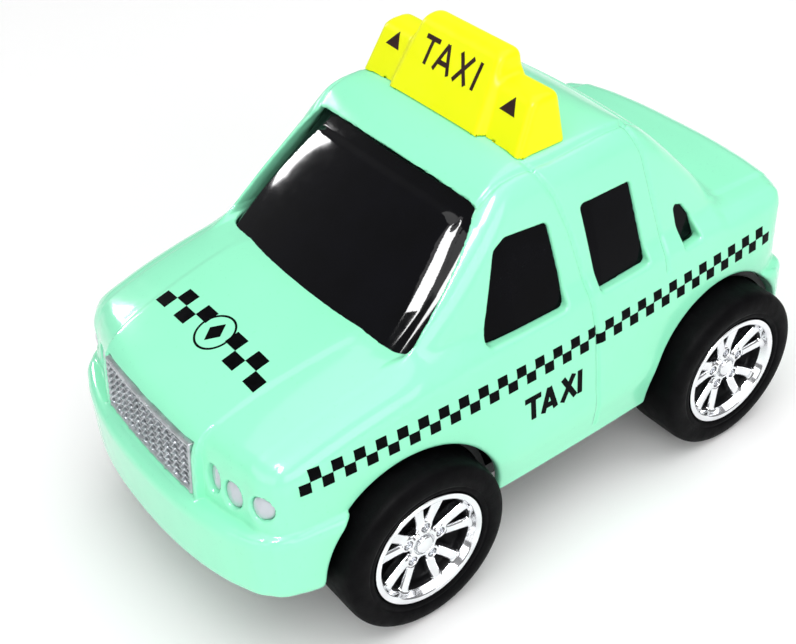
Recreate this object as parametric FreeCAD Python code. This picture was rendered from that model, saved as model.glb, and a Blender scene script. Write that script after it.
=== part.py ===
# Friction-drive toy taxi: a short, tall four-door saloon with a cast shell, a snap-in
# cab glazing, a roof sign, a base plate and a geared flywheel motor on the rear axle.
# Frame: X across the car (+X is its left side), -Y the front, +Z up, millimetres.
# The origin lies on the floor under the middle of the car.
import FreeCAD
import Part
import math
import os

V = FreeCAD.Vector
os.makedirs("parts", exist_ok=True)

# ---- driving dimensions ------------------------------------------------------------
WHEELBASE = 45.0
FRONT_Y = -19.2              # front axle
REAR_Y = FRONT_Y + WHEELBASE
AXLE_Z = 9.8                 # axle height above the level that the body's Z is measured from
TYRE_R = 10.2
LIFT = TYRE_R - AXLE_Z       # raises everything so that the tyres stand on Z = 0
TYRE_IN = 15.4               # inner face of a tyre
TYRE_OUT = 23.6              # outer face of a tyre
RIM_FACE = 23.4
AXLE_R = 1.0
AXLE_HALF = 22.4
ARCH_R = 11.3
WALL = 1.2                   # shell thickness
SILL_Z = 9.2                 # bottom edge of the shell
HALF_W = 20.95               # half width of the shell at the stripe
ROOF_Z = 44.9
PLATE_Z = 8.4                # underside of the base plate
PLATE_T = 1.6
RUN = 0.06                   # radial clearance of a running fit
MODULE = 0.4
AXLE_TEETH = 26
WHEEL_TEETH = 24
PINION_TEETH = 9


# ---- small helpers -----------------------------------------------------------------
def save(shape, name):
    shape = shape.copy()
    shape.translate(V(0, 0, LIFT))
    shape.exportStep("parts/" + name + ".step")
    ok = shape.isValid() and all(s.isClosed() for s in shape.Shells)
    print(name, "solids", len(shape.Solids), "volume %.1f" % shape.Volume, "ok" if ok else "BAD")


def box(x0, x1, y0, y1, z0, z1):
    return Part.makeBox(x1 - x0, y1 - y0, z1 - z0, V(x0, y0, z0))


def xcyl(r, x0, x1, y, z):
    return Part.makeCylinder(r, x1 - x0, V(x0, y, z), V(1, 0, 0))


def zcyl(r, z0, z1, x, y):
    return Part.makeCylinder(r, z1 - z0, V(x, y, z0), V(0, 0, 1))


def fuse(shapes):
    out = shapes[0].multiFuse(shapes[1:])
    return out.removeSplitter()


def mirrored(shape):
    return shape.mirror(V(0, 0, 0), V(1, 0, 0))


def blend(table, t):
    """Smooth monotone interpolation through (t, value) rows."""
    if t <= table[0][0]:
        return table[0][1]
    for (a, va), (b, vb) in zip(table, table[1:]):
        if t <= b:
            k = (t - a) / (b - a)
            return va + (vb - va) * k
    return table[-1][1]


def poly_x(points, x0, x1):
    """Prism along X over an outline of (y, z) points."""
    w = Part.makePolygon([V(x0, y, z) for y, z in points] + [V(x0, *points[0])])
    return Part.Face(w).extrude(V(x1 - x0, 0, 0))


def poly_z(points, z0, z1):
    w = Part.makePolygon([V(x, y, z0) for x, y in points] + [V(points[0][0], points[0][1], z0)])
    return Part.Face(w).extrude(V(0, 0, z1 - z0))


def rounded(points, r):
    """2-D outline with every corner replaced by a short arc of radius about r."""
    out = []
    n = len(points)
    for i in range(n):
        a, b, c = points[i - 1], points[i], points[(i + 1) % n]
        ab = V(a[0] - b[0], a[1] - b[1], 0)
        cb = V(c[0] - b[0], c[1] - b[1], 0)
        cut = min(r, ab.Length * 0.45, cb.Length * 0.45)
        p = V(b[0], b[1], 0) + ab.normalize() * cut
        q = V(b[0], b[1], 0) + cb.normalize() * cut
        for k in range(5):
            t = k / 4.0
            m = p * (1 - t) ** 2 + V(b[0], b[1], 0) * 2 * t * (1 - t) + q * t ** 2
            out.append((m.x, m.y))
    return out


# ---- shell surfaces ----------------------------------------------------------------
TOP_LINE = [(-42, 22.4), (-38.5, 25.0), (-36.5, 26.2), (-33, 27.7), (-28.4, 29.1), (-24, 30.0),
            (-20, 30.6), (-8, 31.0), (8, 31.0), (20, 30.4), (29, 29.9), (42, 29.6)]
STATIONS = [-42, -36.5, -33, -28.4, -24, -19, -8, 8, 20, 29, 42]


def half_width(y):
    k = 0.00172 if y < -6 else 0.0010
    return HALF_W - k * (y + 6) ** 2


def section(y, d):
    """Closed cross-section of the lower body at station y, drawn in by d."""
    s = half_width(y)
    zc = blend(TOP_LINE, y)
    drop = blend([(-42, 1.3), (-30, 1.6), (-15, 1.6), (20, 0.9), (42, 0.8)], y)
    sh = min(25.6, zc - 2.4)
    z7 = zc - drop
    z6 = sh + 0.5 * (z7 - sh)
    half = [(s - 0.25, SILL_Z - 1.0), (s + 0.2, 11.0), (s + 0.5, 14.5), (s + 0.35, 19.0),
            (s, sh - 1.8), (s - 0.3, sh), (s - 0.95, z6), (s - 2.7, z7),
            (10.9, zc - 0.3), (5.4, zc - 0.08), (0, zc)]
    pts = []
    for i, (x, z) in enumerate(half):
        if i < 6:
            pts.append((x - d, z))
        elif i == 6:
            pts.append((x - 0.8 * d, z - 0.6 * d))
        elif i == 7:
            pts.append((x - 0.5 * d, z - 0.9 * d))
        else:
            pts.append((x, z - d))
    right = [V(x, y, z) for x, z in pts]
    left = [V(-x, y, z) for x, z in reversed(pts[:-1])]
    curve = Part.BSplineCurve()
    curve.interpolate(right + left)
    base = Part.makeLine(left[-1], right[0])
    return Part.Wire([curve.toShape(), base])


def plan(front, rear, d):
    """Outline in plan, from rows of (x, y) for the nose and the tail, drawn in by d."""
    nose = [V(-x, y + d, 0) for x, y in reversed(front[1:])] + [V(x, y + d, 0) for x, y in front]
    tail = [V(x, y - d, 0) for x, y in reversed(rear)] + [V(-x, y - d, 0) for x, y in rear[1:]]
    a = Part.BSplineCurve()
    a.interpolate(nose)
    b = Part.BSplineCurve()
    b.interpolate(tail)
    edges = [a.toShape(), Part.makeLine(nose[-1], tail[0]), b.toShape(), Part.makeLine(tail[-1], nose[0])]
    return Part.Wire(edges)


NOSE_UP = [(0, -38.35), (6, -38.2), (9.8, -37.9), (12, -37.5), (15.3, -36.65), (17.9, -35.25),
           (19.6, -33.1), (20.65, -29.9), (22.5, -22)]
NOSE_LOW = [(0, -40.0), (4, -39.9), (8, -39.55), (11.9, -38.85), (15.8, -37.6), (18.5, -36.1),
            (20.2, -33.9), (21.1, -31.0), (21.7, -27)]
TAIL_UP = [(0, 39.2), (8, 39.1), (13, 38.7), (16.6, 37.9), (18.6, 36.3), (19.7, 33.6), (22.2, 22)]
TAIL_LOW = [(0, 40.0), (8, 39.9), (13, 39.6), (17.1, 38.8), (19.4, 37.1), (20.4, 34.4), (20.9, 30)]


def lower_body(d):
    loft = Part.makeLoft([section(y, d) for y in STATIONS], True, False)
    outline = Part.Face(plan(NOSE_UP, TAIL_UP, d)).extrude(V(0, 0, 60))
    body = loft.common(outline)
    # front face leans back a little, and the tail tucks in at the deck edge
    lean = [(-38.95 + d, 5), (-38.55 + d, 18.8), (-37.7 + d, 25.4), (-37.0 + d, 40), (37.6 - d, 40),
            (38.3 - d, 29.6), (39.0 - d, 27.5), (39.0 - d, 5)]
    return body.common(poly_x(lean, -30, 30))


def bumper(rows, y_end, sign, d):
    """A full-width band that stands proud of the nose (sign -1) or tail (sign 1)."""
    pts = [V(-x, y - sign * d, 0) for x, y in reversed(rows[1:])] + [V(x, y - sign * d, 0) for x, y in rows]
    c = Part.BSplineCurve()
    c.interpolate(pts)
    a, b = pts[0], pts[-1]
    k = 1.0 - d / 20.0
    back_a, back_b = V(a.x * k, y_end, 0), V(b.x * k, y_end, 0)
    w = Part.Wire([c.toShape(), Part.makeLine(b, back_b), Part.makeLine(back_b, back_a),
                   Part.makeLine(back_a, a)])
    z0, z1 = 9.8 - 3 * d, 18.3 - d
    solid = Part.Face(w).extrude(V(0, 0, z1 - z0))
    solid.translate(V(0, 0, z0))
    if d == 0:
        edges = [e for e in solid.Edges
                 if abs(e.BoundBox.ZLength) < 1e-6 and e.BoundBox.XLength > 30 and e.BoundBox.YLength > 2]
        solid = solid.makeFillet(1.9, edges)
    return solid


CAB_SIDE = [(-21.6, 26.0), (-21.6, 29.3), (-19.8, 30.6), (-6.4, 41.5), (-4.6, 42.7), (-1.6, 43.9),
            (2.0, 44.6), (6.0, ROOF_Z), (11.0, 44.7), (15.0, 43.6), (17.4, 42.3), (20.4, 39.9),
            (23.6, 36.6), (26.8, 33.0), (29.2, 29.8), (29.6, 26.0)]
CAB_FRONT = [(20.0, 25.0), (19.3, 28.6), (18.4, 32.5), (17.2, 37.0), (16.3, 40.0), (15.55, 42.0),
             (14.2, 43.4), (11.2, 44.3), (6.0, 44.8), (0, ROOF_Z)]
CAB_TAPER = [(-32, 0.86), (-18, 0.935), (-11, 0.98), (-4, 1.0), (8, 1.0), (17, 0.968), (25, 0.912), (36, 0.83)]


def ramp(t, width):
    return max(0.0, min(1.0, t / width))


def cab(d):
    # side view, bowed in plan so the screens curve round to the pillars
    wires = []
    for x in (-20, -10, 0, 10, 20):
        pts = []
        for y, z in CAB_SIDE:
            fore = ramp(2.0 - y, 8.0)
            aft = ramp(y - 8.0, 12.0)
            yy = y + fore * (0.0105 * x * x + 1.25 * d) - aft * (0.006 * x * x + 1.3 * d)
            pts.append(V(x, yy, z - d * ramp(z - 39.0, 4.5)))
        front = Part.makePolygon([pts[0], pts[1], pts[2], pts[3]])
        roof = Part.BSplineCurve()
        roof.interpolate(pts[3:11])
        rear = Part.BSplineCurve()
        rear.interpolate(pts[10:15])
        base = Part.makePolygon([pts[14], pts[15], pts[0]])
        wires.append(Part.Wire(front.Edges + [roof.toShape(), rear.toShape()] + base.Edges))
    side = Part.makeLoft(wires, True, False)
    # front view, narrowing towards the tail
    wires = []
    for y, k in CAB_TAPER:
        half = []
        for x, z in CAB_FRONT:
            high = ramp(z - 39.0, 4.5)
            half.append((k * x - d * (1 - 0.6 * high) if x > 0 else 0, z - d * high))
        right = [V(x, y, z) for x, z in half]
        left = [V(-x, y, z) for x, z in reversed(half[:-1])]
        c = Part.BSplineCurve()
        c.interpolate(right + left)
        wires.append(Part.Wire([c.toShape(), Part.makeLine(left[-1], right[0])]))
    return side.common(Part.makeLoft(wires, True, False))


# ---- openings in the shell ---------------------------------------------------------
SIDE_FRONT = [(-8.5, 28.3), (-6.9, 32.6), (-5.1, 37.5), (-3.6, 38.35), (1.95, 37.9), (2.4, 32.0), (2.45, 28.3)]
SIDE_REAR = [(7.15, 28.3), (6.45, 38.05), (13.7, 37.8), (14.1, 33.0), (14.6, 28.3)]
SIDE_QUARTER = [(20.2, 27.7), (19.8, 32.7), (21.2, 32.1), (22.3, 30.5), (23.0, 27.8)]


def screen_hole(front):
    """Opening of the front or rear screen, as a prism seen from above-front or rear."""
    if front:
        pts = [(-18.0, 29.7), (-13.9, 40.8), (-6.5, 42.0), (6.5, 42.0), (13.9, 40.8), (18.0, 29.7),
               (9.0, 30.8), (-9.0, 30.8)]
        y0, y1 = -30, -2
    else:
        pts = [(-14.0, 32.0), (-11.6, 39.8), (-6.5, 40.8), (6.5, 40.8), (11.6, 39.8), (14.0, 32.0)]
        y0, y1 = 16.2, 36
    out = rounded(pts, 1.6)
    w = Part.makePolygon([V(x, y0, z) for x, z in out] + [V(out[0][0], y0, out[0][1])])
    return Part.Face(w).extrude(V(0, y1 - y0, 0))


def windows(grow):
    cuts = []
    for outline, r in ((SIDE_FRONT, 1.0), (SIDE_REAR, 0.9), (SIDE_QUARTER, 0.7)):
        cuts.append(poly_x(rounded(outline, r), -30, 30))
    cuts.append(screen_hole(True))
    cuts.append(screen_hole(False))
    return cuts


GRILLE_W = 9.1
GRILLE_Z = (18.6, 25.0)
LAMPS = [(10.95, 21.5, 0.8, 1.8), (13.9, 20.95, 1.25, 1.65), (17.55, 21.2, 1.2, 1.45)]


def oval(x, z, a, b, y0, y1):
    e = Part.Ellipse(V(x, y0, z + b), V(x + a, y0, z), V(x, y0, z))
    return Part.Face(Part.Wire([e.toShape()])).extrude(V(0, y1 - y0, 0))


TAIL_LAMP = [(12.6, 21.8), (17.4, 21.8), (17.4, 26.4), (12.6, 26.4)]


def tail_box(y0, y1, g):
    pts = rounded([(x + (g if x > 15 else -g), z + (g if z > 24 else -g)) for x, z in TAIL_LAMP], 0.8)
    w = Part.makePolygon([V(x, y0, z) for x, z in pts] + [V(pts[0][0], y0, pts[0][1])])
    return Part.Face(w).extrude(V(0, y1 - y0, 0))


SHELL_SCREWS = [(0, -30.5), (10.4, 34.2), (-10.4, 34.2)]
PEGS = [(-6.0, 3.2), (6.0, 3.2)]


def make_shell():
    outer = fuse([lower_body(0), cab(0), bumper(NOSE_LOW, -24.0, -1, 0), bumper(TAIL_LOW, 28.0, 1, 0)])
    inner = fuse([lower_body(WALL), cab(WALL)])
    keep = box(-30, 30, -50, 50, SILL_Z, 60)
    shell = outer.common(keep).cut(inner)
    hollow = box(-17.6, 17.6, -35.6, 36.4, 0, 12)
    shell = shell.cut(hollow)
    for y in (FRONT_Y, REAR_Y):
        shell = shell.cut([xcyl(ARCH_R, 12.4, 30, y, AXLE_Z), xcyl(ARCH_R, -30, -12.4, y, AXLE_Z)])
    shell = shell.cut(windows(0))
    shell = shell.cut(box(-GRILLE_W, GRILLE_W, -45, -35.9, *GRILLE_Z))
    for x, z, a, b in LAMPS:
        shell = shell.cut([oval(x, z, a, b, -45, -30), oval(-x, z, a, b, -45, -30)])
    shell = shell.cut([tail_box(35.0, 45, 0), mirrored(tail_box(35.0, 45, 0))])
    posts = []
    inside = fuse([lower_body(WALL * 0.6)])
    for x, y in SHELL_SCREWS:
        posts.append(zcyl(2.1, 12.0, 33, x, y).common(inside))
    shell = fuse([shell] + posts)
    for x, y in SHELL_SCREWS:
        shell = shell.cut(zcyl(1.02, 11, 20, x, y))
    for x, y in PEGS:
        shell = shell.cut(zcyl(1.16, 40, 50, x, y))
    return shell


shell = make_shell()
save(shell, "body_shell")


# ---- cab glazing -------------------------------------------------------------------
def make_glazing():
    g = WALL + 0.10
    body = cab(g).cut(cab(g + 0.9)).common(box(-30, 30, -50, 50, 27.4, 60))
    for x, y in PEGS:
        body = body.cut(zcyl(1.3, 35, 50, x, y))
    return body


# ---- roof sign ---------------------------------------------------------------------
def make_sign():
    """Wide lightbox: a tall middle block between two lower wings, leaning back in front."""
    def block(hw, top_hw, y_bot, y_top, y_back, z0, z1):
        low = Part.makePolygon([V(-hw, y_bot, z0), V(hw, y_bot, z0), V(hw, y_back, z0),
                                V(-hw, y_back, z0), V(-hw, y_bot, z0)])
        high = Part.makePolygon([V(-top_hw, y_top, z1), V(top_hw, y_top, z1), V(top_hw, y_back - 0.3, z1),
                                 V(-top_hw, y_back - 0.3, z1), V(-top_hw, y_top, z1)])
        return Part.makeLoft([low, high], True, True)
    mid = block(8.0, 6.6, -0.5, 4.75, 7.6, 43.1, 51.8)
    wing = block(13.6, 12.6, 0.4, 3.8, 7.4, 43.1, 49.4)
    solid = fuse([mid, wing])
    solid = solid.cut(fuse([lower_roof(0.04)]))
    hollow = fuse([block(6.7, 5.3, -0.2, 5.05, 6.4, 41.5, 50.2),
                   block(12.3, 11.2, 0.75, 4.25, 6.1, 41.5, 47.9)])
    solid = solid.cut(hollow)
    for x, y in PEGS:
        peg = zcyl(1.1, 41.9, 48.2, x, y)
        head = zcyl(1.9, 41.3, 41.9, x, y)
        solid = fuse([solid, peg, head])
    return solid


def lower_roof(gap):
    """The cab raised by a hair, to trim what stands on the roof."""
    c = cab(0)
    c.translate(V(0, 0, gap))
    return c


# ---- grille and lamps --------------------------------------------------------------
def make_grille():
    w = GRILLE_W - 0.08
    z0, z1 = GRILLE_Z[0] + 0.08, GRILLE_Z[1] - 0.08
    plate = box(-w, w, -37.6, -36.4, z0, z1)
    lip = box(-w - 0.9, w + 0.9, -36.5, -35.9, z0 - 0.5, z1 + 0.5)
    frame = box(-w, w, -38.1, -37.6, z0, z1).cut(box(-w + 0.5, w - 0.5, -39, -37, z0 + 0.5, z1 - 0.5))
    bits = [plate, frame]
    cols, rows = 11, 7
    px = (2 * w - 1.0) / cols
    pz = (z1 - z0 - 1.0) / rows
    for i in range(cols):
        for k in range(rows):
            x = -w + 0.5 + (i + 0.5) * px
            z = z0 + 0.5 + (k + 0.5) * pz
            bits.append(box(x - 0.33 * px, x + 0.33 * px, -38.0, -37.6, z - 0.33 * pz, z + 0.33 * pz))
    grille = fuse(bits)
    return grille


def make_lamps():
    """Three lenses on one backing strip that follows the corner of the nose."""
    bits = []
    for x, z, a, b in LAMPS:
        face = -38.2 + 0.0135 * x * x if x < 15 else -35.0
        bits.append(oval(x, z, a - 0.08, b - 0.08, face + 0.35, face + 2.6))
    strip = poly_z([(10.6, -35.6), (15.0, -34.4), (18.0, -32.2), (17.2, -31.4), (14.4, -33.3), (10.6, -34.7)],
                   20.0, 23.6)
    lens = fuse(bits + [strip])
    return lens


def make_tail_lamp():
    lens = tail_box(36.9, 38.2, -0.08).common(lower_body(0.15))
    back = box(12.3, 16.6, 35.2, 35.7, 21.4, 26.8).common(lower_body(WALL + 0.15))
    stem = tail_box(35.2, 37.2, -0.4).common(lower_body(0.3))
    return fuse([lens, back, stem])


save(make_glazing(), "cab_glazing")
save(make_sign(), "roof_sign")
save(make_grille(), "grille_insert")
lamps = make_lamps()
save(lamps, "headlamps_left")
save(mirrored(lamps), "headlamps_right")
tail = make_tail_lamp()
save(tail, "tail_lamp_left")
save(mirrored(tail), "tail_lamp_right")

# ---- base plate --------------------------------------------------------------------
GEAR_A = (REAR_Y - 5.6, AXLE_Z + 4.2)
STEP = MODULE * (WHEEL_TEETH + PINION_TEETH) / 2
GEAR_B = (GEAR_A[0] - STEP * math.cos(math.radians(14)), GEAR_A[1] + STEP * math.sin(math.radians(14)))
FLY = (GEAR_B[0] - STEP * math.cos(math.radians(20)), GEAR_B[1] - STEP * math.sin(math.radians(20)))
FLY_R = 7.0
MOTOR_SCREWS = [(0, -1.2), (0, 34.8)]


def make_base():
    z0, z1 = PLATE_Z, PLATE_Z + PLATE_T
    plate = box(-17.4, 17.4, -35.4, 36.2, z0, z1)
    trim = plan([(x, y + 1.6) for x, y in NOSE_UP], [(x, y - 1.6) for x, y in TAIL_UP], 0)
    plate = plate.common(Part.Face(trim).extrude(V(0, 0, 20)))
    for y in (FRONT_Y, REAR_Y):
        for s in (-1, 1):
            well = xcyl(ARCH_R - 0.15, min(s * 13.0, s * 18.9), max(s * 13.0, s * 18.9), y, AXLE_Z)
            plate = plate.cut(well)
    # opening for the motor and for the two flywheel discs
    plate = plate.cut([box(-6.8, 6.8, 3.4, 33.0, 0, 20), box(-11.0, 11.0, -0.6, 15.6, 0, 20)])
    bits = [plate]
    for y in (FRONT_Y, REAR_Y):
        for s in (-1, 1):
            a, b = min(s * 13.0, s * 18.9), max(s * 13.0, s * 18.9)
            c, d = min(s * 13.0, s * 13.9), max(s * 13.0, s * 13.9)
            ring = xcyl(ARCH_R - 0.15, a, b, y, AXLE_Z).cut(xcyl(ARCH_R - 0.85, a - 1, b + 1, y, AXLE_Z))
            wall = xcyl(ARCH_R - 0.15, c, d, y, AXLE_Z)
            upper = box(-30, 30, y - 20, y + 20, z0, 40)
            bits.append(fuse([ring, wall]).common(upper))
    for s in (-1, 1):
        bits.append(box(min(s * 10.4, s * 13.2), max(s * 10.4, s * 13.2), FRONT_Y - 2.4, FRONT_Y + 2.4, z0, 12.6))
        bits.append(box(min(s * 11.4, s * 13.2), max(s * 11.4, s * 13.2), REAR_Y - 2.4, REAR_Y + 2.4, z0, 12.6))
    for x, y in SHELL_SCREWS:
        bits.append(zcyl(2.3, z0, 11.6, x, y))
    for x, y in MOTOR_SCREWS:
        bits.append(zcyl(2.2, z0, z1, x, y))
    # bridge pads under the motor lugs
    bits.append(box(-4.2, 4.2, -3.4, 0.2, z0, z1))
    bits.append(box(-4.2, 4.2, 33.0, 36.2, z0, z1))
    base = fuse(bits)
    base = base.cut(box(-4.4, 4.4, 0.6, 3.4, z1 - 0.001, 20))
    for y in (FRONT_Y, REAR_Y):
        base = base.cut(xcyl(AXLE_R + RUN, -20, 20, y, AXLE_Z))
    for x, y in SHELL_SCREWS:
        base = base.cut([zcyl(1.12, 0, 20, x, y), zcyl(2.0, 0, 9.9, x, y)])
    for x, y in MOTOR_SCREWS:
        base = base.cut(zcyl(0.92, 0, 20, x, y))
    return base


save(make_base(), "base_plate")


def screw(x, y, z_head, up, r_shank, r_head, length, head_h):
    """Pan-head screw along Z with a cross recess; up = 1 when the tip points up."""
    z1 = z_head + up * head_h
    head = Part.makeCylinder(r_head, head_h, V(x, y, z_head), V(0, 0, up))
    shank = Part.makeCylinder(r_shank, length, V(x, y, z1), V(0, 0, up))
    s = fuse([head, shank])
    for a in (0, 90):
        slot = box(-r_head * 0.6, r_head * 0.6, -0.22, 0.22, -0.4, 0.5 * head_h)
        slot.rotate(V(0, 0, 0), V(0, 0, 1), a)
        if up < 0:
            slot = slot.mirror(V(0, 0, 0), V(0, 0, 1))
        slot.translate(V(x, y, z_head))
        s = s.cut(slot)
    return s


save(Part.makeCompound([screw(x, y, PLATE_Z + 0.2, 1, 1.0, 1.9, 9.6, 1.2) for x, y in SHELL_SCREWS]),
     "shell_screws")
save(Part.makeCompound([screw(x, y, 12.6, -1, 0.9, 1.6, 3.4, 1.0) for x, y in MOTOR_SCREWS]), "motor_screws")


# ---- wheels and axles --------------------------------------------------------------
def revolve_x(points, y, z):
    """Solid of revolution about the X line through (y, z), from (x, r) points."""
    w = Part.makePolygon([V(x, 0, r) for x, r in points] + [V(points[0][0], 0, points[0][1])])
    s = Part.Face(w).revolve(V(0, 0, 0), V(1, 0, 0), 360)
    s.translate(V(0, y, z))
    return s


def make_tyre(y):
    prof = [(TYRE_IN, 7.0), (TYRE_IN, 9.2), (TYRE_IN + 0.3, 9.85), (TYRE_IN + 1.0, TYRE_R),
            (TYRE_OUT - 1.1, TYRE_R), (TYRE_OUT - 0.4, 9.9), (TYRE_OUT - 0.05, 9.2), (TYRE_OUT, 8.4),
            (TYRE_OUT - 0.1, 7.5), (TYRE_OUT - 0.35, 7.1), (TYRE_OUT - 0.8, 7.02), (TYRE_OUT - 0.8, 6.5),
            (TYRE_IN + 0.9, 6.5), (TYRE_IN + 0.9, 7.0)]
    return revolve_x(prof, y, AXLE_Z)


def make_rim(y):
    barrel = revolve_x([(RIM_FACE - 0.5, 6.98), (RIM_FACE - 0.1, 6.98), (RIM_FACE, 6.8), (RIM_FACE - 0.1, 6.55),
                        (RIM_FACE - 0.7, 6.35), (RIM_FACE - 1.0, 6.0), (TYRE_IN + 0.95, 5.75),
                        (TYRE_IN + 0.95, 6.45), (RIM_FACE - 0.5, 6.45)], y, AXLE_Z)
    hub = revolve_x([(TYRE_IN - 0.4, AXLE_R), (TYRE_IN - 0.4, 1.9), (TYRE_IN + 4.0, 2.3), (RIM_FACE - 1.7, 2.3),
                     (RIM_FACE - 1.3, 1.9), (RIM_FACE - 1.1, 1.0), (RIM_FACE - 1.1, 0.0),
                     (AXLE_HALF - 0.8, 0.0), (AXLE_HALF - 0.8, AXLE_R)], y, AXLE_Z)
    web = revolve_x([(TYRE_IN + 2.6, 2.0), (TYRE_IN + 2.6, 6.0), (TYRE_IN + 3.6, 6.0), (TYRE_IN + 3.6, 2.0)],
                    y, AXLE_Z)
    spokes = []
    for i in range(5):
        for side in (-1, 1):
            arm = poly_x([(side * 0.25, 1.6), (side * 1.05, 1.7), (side * 1.65, 4.2), (side * 2.1, 6.25),
                          (side * 1.1, 6.3), (side * 0.85, 4.2)], RIM_FACE - 2.2, RIM_FACE - 1.25)
            arm = arm.common(xcyl(6.2, RIM_FACE - 3, RIM_FACE, 0, 0))
            arm.rotate(V(0, 0, 0), V(1, 0, 0), 72 * i + 18)
            arm.translate(V(0, y, AXLE_Z))
            spokes.append(arm)
    return fuse([barrel, hub, web] + spokes)


for name, y in (("front", FRONT_Y), ("rear", REAR_Y)):
    tyre = make_tyre(y)
    rim = make_rim(y)
    save(tyre, name + "_tyre_left")
    save(mirrored(tyre), name + "_tyre_right")
    save(rim, name + "_rim_left")
    save(mirrored(rim), name + "_rim_right")
    axle = xcyl(AXLE_R, -(AXLE_HALF - 0.85), AXLE_HALF - 0.85, y, AXLE_Z)
    save(axle, name + "_axle")


# ---- gear train --------------------------------------------------------------------
def gear_outline(teeth, thin=0.07, turn=0.0):
    """Involute spur outline in the (y, z) plane, with teeth thinned for backlash."""
    rp = MODULE * teeth / 2
    rb = rp * math.cos(math.radians(25))
    ra = rp + 0.86 * MODULE
    rf = rp - 1.2 * MODULE

    def inv(r):
        a = math.acos(min(1.0, rb / r))
        return math.tan(a) - a
    half = math.pi / (2 * teeth) - thin / (2 * rp)
    pts = []
    for t in range(teeth):
        mid = 2 * math.pi * t / teeth + turn
        flank = []
        r0 = max(rb, rf)
        for k in range(5):
            r = r0 + (ra - r0) * k / 4.0
            flank.append((r, half + inv(rp) - inv(r)))
        if rb > rf:
            flank.insert(0, (rf, flank[0][1]))
        for r, a in flank:
            pts.append((r * math.sin(mid - a), r * math.cos(mid - a)))
        for r, a in reversed(flank):
            pts.append((r * math.sin(mid + a), r * math.cos(mid + a)))
    return pts


def gear(teeth, x0, x1, centre, turn):
    # angles run from +Z towards +Y
    g = poly_x(gear_outline(teeth, turn=turn), x0, x1)
    g.translate(V(0, centre[0], centre[1]))
    return g


def mesh_turn(teeth_a, turn_a, a, teeth_b, b):
    """Rest angle that puts a gap of gear b on the line of centres where gear a has its tooth."""
    line = math.atan2(b[0] - a[0], b[1] - a[1])
    phase = (line - turn_a) * teeth_a / (2 * math.pi)
    frac = phase - math.floor(phase)
    back = line + math.pi
    return back - (0.5 - frac) * 2 * math.pi / teeth_b


AXLE_AT = (REAR_Y, AXLE_Z)
TURN_AXLE = 0.0
TURN_A = mesh_turn(AXLE_TEETH, TURN_AXLE, AXLE_AT, PINION_TEETH, GEAR_A)
TURN_A2 = TURN_A
TURN_B = mesh_turn(WHEEL_TEETH, TURN_A2, GEAR_A, PINION_TEETH, GEAR_B)
TURN_B2 = TURN_B
TURN_F = mesh_turn(WHEEL_TEETH, TURN_B2, GEAR_B, PINION_TEETH, FLY)

axle_gear = gear(AXLE_TEETH, -1.0, 1.0, AXLE_AT, TURN_AXLE)
axle_gear = fuse([axle_gear, xcyl(1.5, -2.2, 2.2, *AXLE_AT)]).cut(xcyl(AXLE_R, -5, 5, *AXLE_AT))
save(axle_gear, "axle_gear")

gear_a = fuse([gear(PINION_TEETH, -1.3, 1.6, GEAR_A, TURN_A), gear(WHEEL_TEETH, 1.6, 2.8, GEAR_A, TURN_A2)])
gear_a = gear_a.cut(xcyl(0.6, -9, 9, *GEAR_A))
save(gear_a, "gear_a")
save(xcyl(0.6, -5.7, 5.7, *GEAR_A), "gear_a_shaft")

gear_b = fuse([gear(PINION_TEETH, -1.6, 3.1, GEAR_B, TURN_B), gear(WHEEL_TEETH, -2.8, -1.6, GEAR_B, TURN_B2)])
gear_b = gear_b.cut(xcyl(0.6, -9, 9, *GEAR_B))
save(gear_b, "gear_b")
save(xcyl(0.6, -5.7, 5.7, *GEAR_B), "gear_b_shaft")

fly_pinion = gear(PINION_TEETH, -3.1, -1.3, FLY, TURN_F).cut(xcyl(0.75, -9, 9, *FLY))
save(fly_pinion, "flywheel_pinion")
save(xcyl(0.75, -10.3, 10.3, *FLY), "flywheel_shaft")
disc = revolve_x([(7.2, 0.75), (7.2, 1.8), (7.6, 1.9), (7.6, 5.0), (7.2, 5.2), (7.2, FLY_R), (10.0, FLY_R),
                  (10.2, FLY_R - 0.2), (10.2, 5.2), (9.4, 5.0), (9.4, 1.9), (9.9, 1.7), (9.9, 0.75)], *FLY)
save(disc, "flywheel_left")
save(mirrored(disc), "flywheel_right")


# ---- motor housing -----------------------------------------------------------------
HOUSE = [(3.9, 9.2), (3.9, 17.0), (7.0, 20.4), (13.6, 22.6), (21.2, 21.2), (27.4, 18.4), (32.6, 14.6),
         (32.6, 6.0), (29.9, 3.2), (21.6, 3.2), (18.6, 7.4), (8.0, 8.6)]
HOUSE_IN = [(4.9, 9.9), (4.9, 16.5), (7.5, 19.4), (13.7, 21.7), (20.8, 20.3), (26.8, 17.5), (31.8, 14.0),
            (31.8, 6.4), (29.5, 3.9), (22.0, 3.9), (19.0, 8.0), (8.4, 9.5)]


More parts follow.
